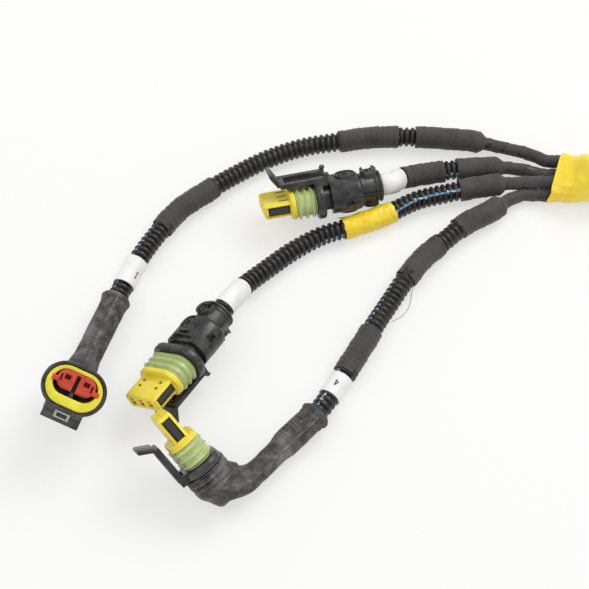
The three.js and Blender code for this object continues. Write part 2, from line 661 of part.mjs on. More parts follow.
const routes = {
  a: {
    up: widthOf(place.a).negate(),
    points: [
      ...fromMouth(75.6, 6), a(122, 80.6, 5.2), a(107, 85.4, 5), a(92, 88.8, 5.9), a(78, 90.2, 6.4), a(60, 91.2, 6.2),
      a(40, 90.8, 6.2), a(22, 88.4, 5.6), a(4, 85, 5.2), a(-14, 77.6, 5.2), a(-30, 67.8, 5.4), a(-44, 57.2, 6.2),
      a(-58, 45.4, 6.4), a(-68, 31.6, 6), a(-75.4, 18.6, 6.4), a(-81, 5.4, 7.2),
      a(-85.5, -6.6, 8), a(-91.5, -24.4, 9.2), a(-97, -40.7, 10.4), a(-100.2, -49.8, 11.2), a(-101.9, -55.4, 13.4),
      framedEnd(place.a, 4.6), framedEnd(place.a, flangeBack),
    ],
  },
  b: {
    up,
    points: [
      ...fromMouth(68.4, 4.2), a(117, 71.4, 4.7), a(106, 72, 5.6), a(92, 71.2, 6.3), a(78, 69.6, 6.3), a(64, 66.4, 7.2),
      a(53, 62.2, 9.4), framedEnd(place.b, neckBack + 6), framedEnd(place.b, neckBack),
      framedEnd(place.b, neckBack - shell.conduitDepth + gap),
    ],
  },
  c: {
    up,
    points: [
      ...fromMouth(61.6, 7.6), a(116, 61.2, 7.6), a(106, 60.6, 7.4), a(92, 58.9, 6.8), a(78, 55.8, 6.2), a(62, 51.4, 6),
      a(46, 42.9, 6.1), a(30, 36, 6.1), a(14, 30.6, 5.6), a(0, 22.4, 5.2), a(-13, 11.4, 5.8), a(-24, 0.8, 7.4),
      framedEnd(place.c, neckBack + 9), framedEnd(place.c, neckBack),
      framedEnd(place.c, neckBack - shell.conduitDepth + gap),
    ],
  },
  d: {
    up: widthOf(place.d).negate(),
    points: [
      ...fromMouth(56.2, 3.7), a(117, 56.4, 3.9), a(109, 52.5, 5), a(98, 44.3, 6.2), a(86, 37.4, 6.3), a(75, 27.6, 6.2),
      a(64, 17.6, 6.3), a(54, 4.6, 6.3), a(46.5, -7, 5.4), a(39.4, -18.6, 5.8), a(33, -30, 6.3), a(25, -43.6, 6.4),
      a(18.5, -55, 7), a(10.3, -67.3, 8), a(0.9, -76.9, 7.6), a(-9.4, -87.8, 7.6), a(-17.2, -96.6, 8.6),
      a(-24.3, -102.4, 10.1), a(-30.7, -102.7, 10.5), framedEnd(place.d, 12.2), framedEnd(place.d, 7),
      framedEnd(place.d, flangeBack),
    ],
  },
};

const rims = { a: a(-85.5, -6.6, 8), d: a(10.3, -67.3, 8) };

// Lengths along each route where the conduit starts and where tape and label lie, by the point beside them.
const marks = {
  a: { start: a(95, 87, 6), tapes: [[a(99, 85.6, 5), a(63, 91, 6)], [a(54.6, 91.2, 6), a(23.5, 88.6, 6)],
    [a(-41.5, 59.4, 6), a(-66, 34.6, 6)]], label: [a(-77.4, 14.6, 7), a(-82, 2.8, 7)] },
  b: { start: a(103.5, 71.4, 6), tapes: [[a(107, 71.4, 5), a(83, 70.2, 6)], [a(76.5, 69.4, 6), a(57.6, 64.2, 8)]],
    label: [a(55.6, 63.4, 8), a(46.6, 57.8, 11)] },
  c: { start: a(103.5, 59.6, 6), tapes: [[a(107, 60, 7), a(84, 56.8, 6)], [a(50.5, 46.2, 6), a(26.2, 35.6, 6)]],
    label: [a(-23.5, 1.2, 7), a(-32.4, -10.6, 11)] },
  d: { start: a(102, 49, 6), tapes: [[a(105.5, 50.8, 5), a(81.8, 33.8, 6)], [a(71.8, 24.6, 6), a(54.4, 5.4, 6)],
    [a(36.6, -23.6, 6), a(23.4, -46.4, 6)]], label: [a(22, -49, 6), a(16, -59.2, 7)] },
};

const tubeStep = 21;
const fineStep = 4;

function branch(name) {
  const { points, up: across } = routes[name];
  const route = new Route(points, across, tubeStep);
  route.fine = new Route(points, across, fineStep);
  const boots = rims[name];
  const rimS = boots ? route.nearest(boots) : 0;
  const fineFrom = boots ? rimS - 6 : route.length - shell.conduitDepth - 30;
  route.stops = route.stops.filter((stop) => stop.s < fineFrom - 4)
    .concat(route.fine.stops.filter((stop) => stop.s >= fineFrom));
  const m = marks[name];
  const start = route.nearest(m.start);
  const conduitEnd = boots ? rimS + boot.conduitDepth : route.length;
  const meshes = [
    piece(`${name}_bundle`, tube(route, gap, start - gap, bundleD), look.tape),
    piece(`${name}_conduit`, tube(route, start, conduitEnd, conduitD), look.conduit),
    ...m.tapes.map(([from, to], i) => piece(
      `${name}_tape_${i + 1}`,
      i === 0 ? endTape(route, route.nearest(from) - 4, start, route.nearest(to))
        : wrapOn(route, route.nearest(from), route.nearest(to), conduitD, tapeWall),
      name === 'c' && i === 1 ? look.yellowTape : look.tape,
    )),
    piece(`${name}_label`, wrapOn(route, ...m.label.map((p) => route.nearest(p)), conduitD, labelWall), look.label),
    ...(boots ? [piece(`${name}_boot`, elbowBoot(
      route, rimS, name === 'a' ? shrouded : slimBooted, place[name], bends[name]), look.rubber)] : []),
  ];
  return meshes;
}

// Trunk: taped breakout, conduit, boot and connector.

const trunkZ = trunkD / 2 + gap + breakout.wall;
const rad = Math.PI / 180;
const turn = (share) => at(
  trunkTurnX + trunkTurnRadius * Math.sin(share * trunkTurnAngle * rad),
  trunkAxisY - trunkTurnRadius * (1 - Math.cos(share * trunkTurnAngle * rad)),
  trunkZ + trunkRise * share * share * (3 - 2 * share),
);
const trunkHeading = at(Math.cos(trunkTurnAngle * rad), -Math.sin(trunkTurnAngle * rad), 0);
const trunkTurnEnd = turn(1);
const trunkTail = trunkBoot.conduitDepth + 12;
const trunkConduitEnd = trunkTurnEnd.clone().addScaledVector(trunkHeading, trunkTail);
const trunkBootEnd = trunkConduitEnd.clone().addScaledVector(trunkHeading, trunkBoot.length - trunkBoot.conduitDepth);
const mainPlace = {
  flange: trunkBootEnd.clone().addScaledVector(trunkHeading, wide.flangeLength / 2 + gap),
  axis: trunkHeading, latch: at(0, 0, 1),
};

function trunk() {
  const breakEnd = trunkStart.x + breakout.length;
  const conduitStart = breakEnd - breakout.boreDepth;
  const points = [
    at(conduitStart + gap, trunkAxisY, trunkZ), at(breakEnd, trunkAxisY, trunkZ), at(trunkTurnX, trunkAxisY, trunkZ),
    ...[0.2, 0.4, 0.6, 0.8, 1].map(turn),
    trunkTurnEnd.clone().addScaledVector(trunkHeading, 6), trunkConduitEnd,
  ];
  const route = new Route(points, up, 12);
  const outerD = trunkD + 2 * (gap + breakout.wall);
  const across = (x, y, z, w, h) => outline(w, h, undefined, 5).map(([py, pz]) => at(x, y + py, z + pz));
  const tape = cut(solid(loft([
    across(trunkStart.x, trunkStart.y, trunkStart.z, breakout.mouthWidth, breakout.mouthHeight)
      .map((v) => v.setX(mouthX(v.y))),
    across(trunkStart.x + breakout.taperLength * 0.6, 62.6, 8.9, 25, 16.8)
      .map((v) => v.setX(v.x + (v.y - 63) * breakout.mouthSlant * 0.4)),
    across(trunkStart.x + breakout.taperLength, trunkAxisY, trunkZ, outerD, outerD),
    across(breakEnd, trunkAxisY, trunkZ, outerD, outerD),
  ])), [
    solid(loft([conduitStart, breakEnd + 1].map((x) =>
      across(x, trunkAxisY, trunkZ, trunkD + 3 * gap, trunkD + 3 * gap)))),
  ]);
  const axisAt = (d) => ({ d, x: d - trunkBoot.length - gap - wide.flangeLength / 2 });
  const bootSections = [
    [0, trunkBoot.rimD, trunkBoot.rimD], [4, trunkBoot.rimD, trunkBoot.rimD], [5, trunkBoot.tailD, trunkBoot.tailD],
    [trunkBoot.conduitDepth, trunkBoot.tailD, trunkBoot.tailD],
    [trunkBoot.length - trunkBoot.cupLength, trunkBoot.cupWidth - 2, trunkBoot.cupHeight - 0.6],
    [trunkBoot.length, trunkBoot.cupWidth, trunkBoot.cupHeight],
  ];
  const main = wide;
  const rubber = cut(body(bootSections.map(([d, w, h]) => ({ x: axisAt(d).x, w, h }))), [
    body([
      { x: axisAt(-1).x, w: trunkD + 3 * gap, h: trunkD + 3 * gap },
      { x: axisAt(trunkBoot.conduitDepth + gap).x, w: trunkD + 3 * gap, h: trunkD + 3 * gap },
    ]),
    body([
      { x: axisAt(trunkBoot.conduitDepth).x, w: trunkD - 2, h: trunkD - 2 },
      { x: axisAt(trunkBoot.length - main.spigotLength - gap).x, w: main.spigotWidth - 3, h: main.spigotHeight - 1 },
    ]),
    slab(axisAt(trunkBoot.length - main.spigotLength - gap - 0.5).x, axisAt(trunkBoot.length + 1).x,
      main.spigotWidth + 2 * gap, main.spigotHeight + 2 * gap, main.spigotHeight / 3 + gap),
  ]);
  return [
    piece('breakout_tape', tape, look.yellowTape),
    piece('trunk_conduit', tube(route, 0, route.length - gap, trunkD, trunkSides), look.conduit),
    framed(mainPlace, [piece('trunk_boot', rubber, look.rubber)]),
    plug('trunk', wide, mainPlace),
  ];
}

// The whole harness, its origin under the middle of everything but the bare wires and conduits.

const harness = new THREE.Group();
harness.name = 'wiring_harness';
harness.add(
  ...trunk(),
  ...['a', 'b', 'c', 'd'].flatMap(branch),
  shroudedConnector('a', shrouded, place.a),
  ...['b', 'c', 'd'].map((name) => plug(name, name === 'd' ? slimBooted : slim, place[name])),
  ...['b', 'c'].map((name) => backshell(name, place[name])),
);
harness.updateMatrixWorld(true);

const measured = new THREE.Box3();
harness.traverse((object) => {
  if (object.isMesh && !/_(bundle|conduit)$/.test(object.name)) {
    measured.expandByObject(object, true);
  }
});
const middle = measured.getCenter(at(0, 0, 0));
harness.position.set(-middle.x, -middle.y, -measured.min.z);

export default harness;
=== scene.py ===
"""Wiring harness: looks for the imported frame, with studio light and the photograph's camera."""
import math
import bmesh
import bpy
import numpy as np
from mathutils import Matrix, Vector, noise


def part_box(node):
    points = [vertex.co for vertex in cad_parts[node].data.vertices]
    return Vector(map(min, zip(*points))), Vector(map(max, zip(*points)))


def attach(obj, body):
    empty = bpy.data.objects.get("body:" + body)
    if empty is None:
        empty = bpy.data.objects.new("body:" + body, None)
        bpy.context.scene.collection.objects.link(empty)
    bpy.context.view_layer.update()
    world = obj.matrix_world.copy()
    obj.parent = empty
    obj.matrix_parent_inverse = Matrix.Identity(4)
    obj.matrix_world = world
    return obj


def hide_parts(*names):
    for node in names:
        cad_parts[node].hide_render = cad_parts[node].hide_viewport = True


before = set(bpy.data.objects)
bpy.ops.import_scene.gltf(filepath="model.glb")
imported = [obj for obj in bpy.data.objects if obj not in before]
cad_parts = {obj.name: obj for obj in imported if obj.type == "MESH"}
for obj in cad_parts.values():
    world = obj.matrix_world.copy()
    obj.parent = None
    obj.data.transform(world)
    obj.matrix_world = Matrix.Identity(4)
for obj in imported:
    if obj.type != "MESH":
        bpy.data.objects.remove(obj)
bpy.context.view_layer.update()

# Sizes are in millimetres, from the point of the table that the camera looks at.

MM = 0.001
BREAKOUT_END_X = 179.0
BREAKOUT_FAR_Y = 79.4
breakout_low, breakout_high = (Vector(c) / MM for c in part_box("breakout_tape"))
SHIFT = Vector((breakout_high.x - BREAKOUT_END_X, breakout_high.y - BREAKOUT_FAR_Y, breakout_low.z))

GAP = 0.3
CONDUIT_D = 10.0
CONDUIT_PITCH = 2.95
GROOVE_DEPTH = 1.25
SLIT_LIP = 0.9
CORE_RADIUS = 2.5
WIRE_RADIUS = 0.6
WIRE_LEAD = 17.0
BUNDLE_D = 6.2
TRUNK_D = 21.0
TRUNK_PITCH = 4.6
TAPE_WALL = 0.8
LABEL_WALL = 0.45

CAMERA_AT = Vector((0, -313.5, 543))
CAMERA_LENS = 78.23
CAMERA_SENSOR = 36.0


def vec(*p):
    return Vector(p)


PLACE = {
    name: {"flange": vec(*flange), "axis": vec(*axis), "latch": vec(*toward_latch)}
    for name, flange, axis, toward_latch in (
        ("a", (-100.2, -61, 21), (0.2, -0.44, 0.875), (-0.434, -0.78, -0.45)),
        ("b", (11.5, 48.4, 13.9), (-0.977, -0.214, 0), (-0.123, 0.56, 0.819)),
        ("c", (-53, -44.8, 17.4), (-0.548, -0.83, 0.1), (0.46, -0.328, -0.825)),
        ("d", (-41.7, -96.1, 18.1), (-0.617, 0.574, 0.538), (-0.735, -0.655, -0.16)),
    )
}

SLIM = {
    "flange": (29.5, 18.2, 4.0), "spigot": (18.4, 11.0, 10.0), "core": (22.6, 11.3),
    "seal": (27.0, 15.7, 10.6), "groove": 1.1, "collar": (25.4, 14.2, 2.4),
    "nose": (20.6, 7.4, 13.4), "wall": 1.1, "chamfer": 1.2,
    "pitch": 6.0, "ways": 3, "rows": 1, "row_pitch": 0.0,
    "latch_width": 14.4, "rail": 3.0, "rail_height": 9.6, "rail_thickness": 2.2, "rail_reach": 20.6,
    "tab": (7.4, 2.0, 58.0), "post": 13.8, "setback": 3.4,
}
BOOTED = {**SLIM, "spigot": (18.4, 11.0, 6.0), "post": 0.0, "setback": 0.0, "rail_thickness": 3.0}
WIDE = {
    **SLIM, "flange": (50.0, 26.0, 4.5), "spigot": (38.0, 19.0, 12.0), "core": (42.0, 20.0),
    "seal": (46.6, 24.6, 11.0), "collar": (45.0, 23.6, 2.4), "nose": (39.0, 15.4, 14.0), "wall": 1.2,
    "ways": 6, "rows": 2, "row_pitch": 6.0,
    "latch_width": 20.0, "rail_height": 13.6, "post": 0.0, "setback": 0.0,
}
SHROUD = {
    "flange": (28.6, 19.6, 4.0), "spigot": (20.0, 12.6, 6.0),
    "shroud": (29.4, 21.4, 18.0), "shroud_wall": 1.4, "opening": (20.8, 11.8, -1.35),
    "block": (15.2, 6.4), "block_lift": -2.6, "lock": (18.0, 9.0, 11.0), "recess": 0.7, "pitch": 9.0,
    "latch_width": 17.4, "rail": 2.4, "rail_height": 10.9, "rail_thickness": 1.8, "rail_reach": 21.0,
    "tab": (3.9, 2.0, 78.0), "post": 0.0, "setback": 0.0,
}
SHELL = {
    "width": 23.4, "height": 17.4, "length": 16.2, "standoff": 3.8,
    "neck_d": 15.8, "neck": 10.4, "boss_place": 9.0, "conduit_depth": 8.0,
}
BOOT_DEPTH = 14.0
KEY_HOLES = (2.7, 6.2)
KEY_HOLE_ASIDE = 5.7


# Colours and finishes

def srgb(r, g, b):
    """A colour as it looks on a screen, from 0 to 255, as the shader takes it."""
    def linear(c):
        c /= 255
        return c / 12.92 if c <= 0.04045 else ((c + 0.055) / 1.055) ** 2.4
    return (linear(r), linear(g), linear(b), 1.0)


class Finish:
    """A procedural material, built step by step on one Principled shader."""

    def __init__(self, name, roughness, **sockets):
        self.material = bpy.data.materials.new(name)
        self.material.use_nodes = True
        self.tree = self.material.node_tree
        self.shader = self.tree.nodes["Principled BSDF"]
        self.shader.inputs["Roughness"].default_value = roughness
        for socket, value in sockets.items():
            self.shader.inputs[socket.replace("_", " ")].default_value = value
        self.place = self.tree.nodes.new("ShaderNodeTexCoord").outputs["Object"]
        self.height = None

    def feed(self, socket, value):
        """Link a value that comes from a node, and set any other."""
        if isinstance(value, bpy.types.NodeSocket):
            self.tree.links.new(value, socket)
        else:
            socket.default_value = value

    def node(self, kind, **inputs):
        made = self.tree.nodes.new(kind)
        for socket, value in inputs.items():
            self.feed(made.inputs[socket.replace("_", " ")], value)
        return made

    def grain(self, scale, detail=4.0, stretch=None):
        place = self.place
        if stretch:
            place = self.node("ShaderNodeMapping", Vector=place, Scale=stretch).outputs["Vector"]
        return self.node("ShaderNodeTexNoise", Vector=place, Scale=scale, Detail=detail).outputs["Fac"]

    def mapped(self, value, low, high, to_low=0.0, to_high=1.0):
        made = self.node("ShaderNodeMapRange", Value=value)
        for socket, number in zip(("From Min", "From Max", "To Min", "To Max"), (low, high, to_low, to_high)):
            made.inputs[socket].default_value = number
        return made.outputs["Result"]

    def mixed(self, share, first, second):
        made = self.tree.nodes.new("ShaderNodeMix")
        made.data_type = "RGBA"
        for index, value in ((0, share), (6, first), (7, second)):
            self.feed(made.inputs[index], value)
        return made.outputs[2]

    def maths(self, operation, a, b):
        made = self.node("ShaderNodeMath")
        made.operation = operation
        self.feed(made.inputs[0], a)
        self.feed(made.inputs[1], b)
        return made.outputs[0]

    def times(self, a, b):
        return self.maths("MULTIPLY", a, b)

    def edge_wear_and_painted_shade(self, low, high):
        """From 0 to 1 between two levels of pointiness: set above flat, it is 1 on edges that stand out, for
        wear; set below flat, it is 0 in hollows and creases, for painted shade.
        """
        point = self.tree.nodes.new("ShaderNodeNewGeometry").outputs["Pointiness"]
        return self.mapped(point, low, high)

    def colour(self, value):
        self.feed(self.shader.inputs["Base Color"], value)
        return self

    def rough(self, value):
        self.tree.links.new(value, self.shader.inputs["Roughness"])
        return self

    def bump(self, value, distance, strength=1.0):
        made = self.node("ShaderNodeBump", Height=value, Distance=distance, Strength=strength)
        if self.height:
            self.tree.links.new(self.height, made.inputs["Normal"])
        self.height = made.outputs["Normal"]
        self.tree.links.new(self.height, self.shader.inputs["Normal"])
        return self


def moulded(name, base, dust, roughness, wear=None):
    """Moulded plastic: a faint cloud of dust, a fine pebble, uneven gloss and, if given, pale worn edges."""
    f = Finish(name, roughness)
    cloud = f.mapped(f.grain(160.0, 5.0), 0.42, 0.72)
    surface = f.mixed(cloud, base, dust)
    if wear:
        worn = f.times(f.edge_wear_and_painted_shade(0.54, 0.66), f.mapped(f.grain(700.0), 0.45, 0.60))
        surface = f.mixed(f.times(worn, 0.6), surface, wear)
    f.colour(surface)
    f.rough(f.mapped(f.grain(420.0), 0.3, 0.7, roughness - 0.07, roughness + 0.09))
    return f.bump(f.grain(2600.0, 2.0), 0.00003).material


def tape_finish(name, base, light, roughness):
    """Cloth tape: woven grain, lighter lint and long soft creases, with painted shade in its hollows and lap
    edges.
    """
    f = Finish(name, roughness, Sheen_Weight=0.18, Sheen_Roughness=0.5)
    lint = f.mapped(f.grain(2300.0, 3.0), 0.50, 0.85, 0.0, 0.6)
    cloud = f.mapped(f.grain(75.0, 3.0), 0.35, 0.7, 0.0, 0.5)
    woven = f.mixed(lint, f.mixed(cloud, base, light), light)
    # painted shade: near-black where the pointiness falls below flat, in the tape's hollows and lap edges
    f.colour(f.mixed(f.edge_wear_and_painted_shade(0.44, 0.49), srgb(24, 23, 22), woven))
    f.bump(f.grain(3600.0, 2.0), 0.00005)
    return f.bump(f.grain(150.0, 4.0), 0.00030, 0.7).material


def yellow_tape_finish():
    f = Finish("tape_yellow", 0.34, Coat_Weight=0.15)
    cloud = f.mapped(f.grain(70.0, 4.0), 0.35, 0.7)
    wrapped = f.mixed(cloud, srgb(252, 224, 62), srgb(246, 211, 40))
    # painted shade: a deeper yellow where the pointiness falls below flat, in the wrap's hollows and creases
    f.colour(f.mixed(f.edge_wear_and_painted_shade(0.45, 0.495), srgb(214, 168, 18), wrapped))
    f.rough(f.mapped(f.grain(240.0), 0.3, 0.7, 0.20, 0.38))
    return f.bump(f.grain(150.0, 6.0), 0.0005, 0.9).material


def label_finish():
    f = Finish("label_white", 0.42)
    cloud = f.mapped(f.grain(120.0, 4.0), 0.45, 0.8)
    f.colour(f.mixed(cloud, srgb(238, 238, 237), srgb(224, 224, 222)))
    return f.bump(f.grain(300.0, 3.0), 0.00012).material


def rubber_finish():
    """Boot rubber: charcoal with talc in the pores and pale scuffs along what stands out."""
    f = Finish("boot_rubber", 0.62)
    talc = f.mapped(f.grain(260.0, 9.0), 0.44, 0.78)
    patch = f.mapped(f.grain(75.0, 6.0), 0.52, 0.70)
    speck = f.mapped(f.grain(1700.0, 4.0), 0.60, 0.72)
    chalky = f.mixed(talc, srgb(52, 51, 50), srgb(108, 106, 103))
    dusty = f.mixed(f.times(patch, 0.45), chalky, srgb(140, 137, 132))
    scuffed = f.mixed(f.times(speck, f.mapped(patch, 0.0, 1.0, 0.18, 0.65)), dusty, srgb(176, 173, 167))
    edges = f.times(f.edge_wear_and_painted_shade(0.515, 0.58), f.mapped(f.grain(420.0, 7.0), 0.40, 0.62))
    f.colour(f.mixed(f.times(edges, 0.4), scuffed, srgb(150, 147, 142)))
    f.rough(f.mapped(f.grain(330.0), 0.3, 0.7, 0.50, 0.76))
    f.bump(f.grain(1700.0, 4.0), 0.00010)
    return f.bump(f.grain(240.0, 6.0), 0.00022, 0.8).material


def seal_finish(name, base, shade):
    f = Finish(name, 0.30, Subsurface_Weight=0.12, Subsurface_Scale=0.001, Coat_Weight=0.2)
    cloud = f.mapped(f.grain(230.0, 4.0), 0.35, 0.75)
    f.colour(f.mixed(cloud, base, shade))
    return f.bump(f.grain(1400.0, 3.0), 0.00004).material


def glossy(name, base, shade):
    f = Finish(name, 0.30, Subsurface_Weight=0.05, Subsurface_Scale=0.001)
    cloud = f.mapped(f.grain(260.0, 4.0), 0.38, 0.75)
    f.colour(f.mixed(cloud, base, shade))
    f.rough(f.mapped(f.grain(500.0), 0.3, 0.7, 0.24, 0.38))
    return f.bump(f.grain(2200.0, 2.0), 0.00003).material


def contact_finish():
    f = Finish("contact_tin", 0.28, Metallic=1.0)
    streak = f.mapped(f.grain(600.0, 4.0, (1.0, 6.0, 1.0)), 0.3, 0.7)
    f.colour(f.mixed(streak, srgb(206, 203, 196), srgb(158, 154, 146)))
    return f.rough(f.mapped(f.grain(900.0), 0.3, 0.7, 0.20, 0.40)).material


def plain(name, colour, roughness):
    f = Finish(name, roughness)
    cloud = f.mapped(f.grain(300.0, 4.0), 0.35, 0.7)
    shade = tuple(c * 0.78 for c in colour[:3]) + (1.0,)
    return f.colour(f.mixed(cloud, colour, shade)).bump(f.grain(1200.0), 0.00003).material


look = {
    "conduit": moulded("conduit_black", srgb(35, 34, 33), srgb(54, 52, 50), 0.26),
    "tape": tape_finish("tape_black", srgb(54, 52, 51), srgb(82, 80, 78), 0.74),
    "yellow_tape": yellow_tape_finish(),
    "label": label_finish(),
    "rubber": rubber_finish(),
    "housing": moulded("housing_black", srgb(41, 41, 42), srgb(72, 71, 70), 0.31, srgb(140, 139, 137)),
    "green": seal_finish("seal_green", srgb(194, 209, 146), srgb(173, 190, 124)),
    "yellow_seal": seal_finish("seal_yellow", srgb(238, 228, 66), srgb(222, 208, 44)),
    "yellow": glossy("lock_yellow", srgb(247, 226, 72), srgb(242, 217, 60)),
    "red": glossy("lock_red", srgb(212, 74, 50), srgb(186, 54, 34)),
    "contact": contact_finish(),
    "white_wire": plain("wire_white", srgb(226, 230, 232), 0.4),
    "blue_wire": plain("wire_blue", srgb(112, 166, 208), 0.4),
    "ink": plain("label_ink", srgb(44, 44, 46), 0.6),
    # painted shade: flat near-black for pieces that stand in for depths the light doesn't reach
    "dark": plain("painted_shade_black", srgb(20, 20, 20), 0.8),
    # painted reflection: a lighter grey copy of the housing for the light the window panels reflect
    "panel": plain("window_panel_painted_reflection", srgb(58, 58, 60), 0.2),
    # painted glint: pale grey for the light caught along the rim of the tab's window
    "painted_glint": plain("window_rim_painted_glint", srgb(172, 171, 168), 0.3),
}


# Meshes

def row_metres(points):
    return (np.asarray(points, float) + np.array(SHIFT)) * MM


def new_piece(name, points, faces, material, crease=40.0):
    mesh = bpy.data.meshes.new(name)
    mesh.from_pydata(row_metres(points).tolist(), [], faces)
    mesh.materials.append(material)
    return shown(name, mesh, crease)


def shown(name, mesh, crease):
    mesh.update()
    mesh.shade_smooth()
    mesh.set_sharp_from_angle(angle=math.radians(crease))
    piece = bpy.data.objects.new(name, mesh)
    bpy.context.scene.collection.objects.link(piece)
    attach(piece, "root")
    return piece


def quads(rings, columns, around=True, first=0):
    wide = columns if around else columns - 1
    return [
        (first + i * columns + j, first + i * columns + (j + 1) % columns,
         first + (i + 1) * columns + (j + 1) % columns, first + (i + 1) * columns + j)
        for i in range(rings - 1) for j in range(wide)
    ]


def around(columns):
    return np.arange(columns) * 2 * math.pi / columns


def end_faces(count, columns):
    """The faces that close the first and the last ring."""
    return [tuple(range(columns))[::-1], tuple(range(count - columns, count))]


def wrinkle(points, scale, seed=0.0):
    """Smooth noise from -1 to 1 at each point, the same every run."""
    return np.array([noise.noise(Vector(p) * scale + Vector((seed, seed, seed))) for p in points])


# Routes

KNOT_SPANS = (((0, 1), (1, 2), (2, 3)), ((0, 2), (1, 3)), ((1, 2),))


def smooth_line(points, per_span=24):
    """The centripetal curve through the points, as a fine chain."""
    p = [np.array(q, float) for q in points]
    p = [2 * p[0] - p[1], *p, 2 * p[-1] - p[-2]]
    chain = []
    for at in range(1, len(p) - 2):
        knots = [0.0]
        for k in range(3):
            knots.append(knots[-1] + max(np.linalg.norm(p[at + k] - p[at + k - 1]), 1e-6) ** 0.5)
        for t in np.linspace(knots[1], knots[2], per_span, endpoint=False):
            level = p[at - 1:at + 3]
            for spans in KNOT_SPANS:
                level = [
                    (level[k] * (knots[j] - t) + level[k + 1] * (t - knots[i])) / (knots[j] - knots[i])
                    for k, (i, j) in enumerate(spans)
                ]
            chain.append(level[0])
    chain.append(p[-2])
    return np.array(chain)


class Route:
    """A branch's middle line, measured along its length, with a frame at each place."""

    def __init__(self, points, up):
        self.line = smooth_line(points)
        spans = np.linalg.norm(np.diff(self.line, axis=0), axis=1)
        self.at = np.concatenate([[0.0], np.cumsum(spans)])
        self.length = float(self.at[-1])
        self.up = np.array(up, float)

    def point(self, s):
        s = np.asarray(s, float)
        return np.stack([np.interp(s, self.at, self.line[:, k]) for k in range(3)], axis=-1)

    def frames(self, s):
        s = np.asarray(s, float)
        reach = 1.2
        ahead, behind = np.minimum(s + reach, self.length), np.maximum(s - reach, 0.0)
        tangent = self.point(ahead) - self.point(behind)
        tangent /= np.linalg.norm(tangent, axis=-1, keepdims=True)
        v = self.up - tangent * (tangent @ self.up)[..., None]
        v /= np.linalg.norm(v, axis=-1, keepdims=True)
        over = self.point(s)
        return over, tangent, np.cross(v, tangent), v

    def nearest(self, target):
        return float(self.at[np.argmin(np.linalg.norm(self.line - np.array(target), axis=1))])

    def facing(self, s, direction):
        """The angle round the line at which it faces a direction."""
        _, _, u, v = self.frames(np.array([s]))
        d = np.array(direction, float)
        return math.atan2(float(d @ v[0]), float(d @ u[0]))

    def skin(self, s, angles, radii):
        """Points at those angles and radii round the line: one row for each place."""
        point, _, u, v = self.frames(s)
        angles, radii = np.broadcast_arrays(angles, radii)
        return (
            point[:, None] + (radii * np.cos(angles))[..., None] * u[:, None]
            + (radii * np.sin(angles))[..., None] * v[:, None]
        )


def flange_end(where, back):
    return where["flange"] - where["axis"].normalized() * back


def width_of(where):
    return where["latch"].cross(where["axis"]).normalized()


MOUTH_X, MOUTH_Y, MOUTH_SLANT = 133.0, 65.4, 0.36


def from_mouth(y, z):
    x = MOUTH_X + (y - MOUTH_Y) * MOUTH_SLANT
    return [vec(x - 1.6, y, z), vec(x - 6, y + 0.1, z)]


FLANGE_BACK = SLIM["flange"][2] / 2 + GAP
NECK_BACK = SLIM["flange"][2] / 2 + SHELL["standoff"] + SHELL["length"] + SHELL["neck"]

ROUTES = {
    "a": Route([
        *from_mouth(75.6, 6), (122, 80.6, 5.2), (107, 85.4, 5), (92, 88.8, 5.9), (78, 90.2, 6.4),
        (60, 91.2, 6.2), (40, 90.8, 6.2), (22, 88.4, 5.6), (4, 85, 5.2), (-14, 77.6, 5.2),
        (-30, 67.8, 5.4), (-44, 57.2, 6.2), (-58, 45.4, 6.4), (-68, 31.6, 6), (-75.4, 18.6, 6.4),
        (-81, 5.4, 7.2), (-85.5, -6.6, 8),
        (-91.5, -24.4, 9.2), (-97, -40.7, 10.4), (-100.2, -49.8, 11.2), (-101.9, -55.4, 13.4),
        flange_end(PLACE["a"], 4.6), flange_end(PLACE["a"], FLANGE_BACK),
    ], -width_of(PLACE["a"])),
    "b": Route([
        *from_mouth(68.4, 4.2), (117, 71.4, 4.7), (106, 72, 5.6), (92, 71.2, 6.3), (78, 69.6, 6.3),
        (64, 66.4, 7.2), (53, 62.2, 9.4), flange_end(PLACE["b"], NECK_BACK + 6),
        flange_end(PLACE["b"], NECK_BACK), flange_end(PLACE["b"], NECK_BACK - SHELL["conduit_depth"] + GAP),
    ], (0, 0, 1)),
    "c": Route([
        *from_mouth(61.6, 7.6), (116, 61.2, 7.6), (106, 60.6, 7.4), (92, 58.9, 6.8), (78, 55.8, 6.2),
        (62, 51.4, 6), (46, 42.9, 6.1), (30, 36, 6.1), (14, 30.6, 5.6), (0, 22.4, 5.2), (-13, 11.4, 5.8),
        (-24, 0.8, 7.4), flange_end(PLACE["c"], NECK_BACK + 9), flange_end(PLACE["c"], NECK_BACK),
        flange_end(PLACE["c"], NECK_BACK - SHELL["conduit_depth"] + GAP),
    ], (0, 0, 1)),
    "d": Route([
        *from_mouth(56.2, 3.7), (117, 56.4, 3.9), (109, 52.5, 5), (98, 44.3, 6.2), (86, 37.4, 6.3),
        (75, 27.6, 6.2), (64, 17.6, 6.3), (54, 4.6, 6.3), (46.5, -7, 5.4), (39.4, -18.6, 5.8), (33, -30, 6.3),
        (25, -43.6, 6.4),
        (18.5, -55, 7), (10.3, -67.3, 8), (0.9, -76.9, 7.6), (-9.4, -87.8, 7.6), (-17.2, -96.6, 8.6),
        (-24.3, -102.4, 10.1), (-30.7, -102.7, 10.5), flange_end(PLACE["d"], 12.2), flange_end(PLACE["d"], 7),
        flange_end(PLACE["d"], FLANGE_BACK),
    ], -width_of(PLACE["d"])),
}
RIM = {"a": ROUTES["a"].nearest((-85.5, -6.6, 8)), "d": ROUTES["d"].nearest((10.3, -67.3, 8))}
FIRST_RIB = {"a": (95, 87, 6), "b": (103.5, 71.4, 6), "c": (103.5, 59.6, 6), "d": (102, 49, 6)}
CONDUIT_START = {name: ROUTES[name].nearest(point) for name, point in FIRST_RIB.items()}
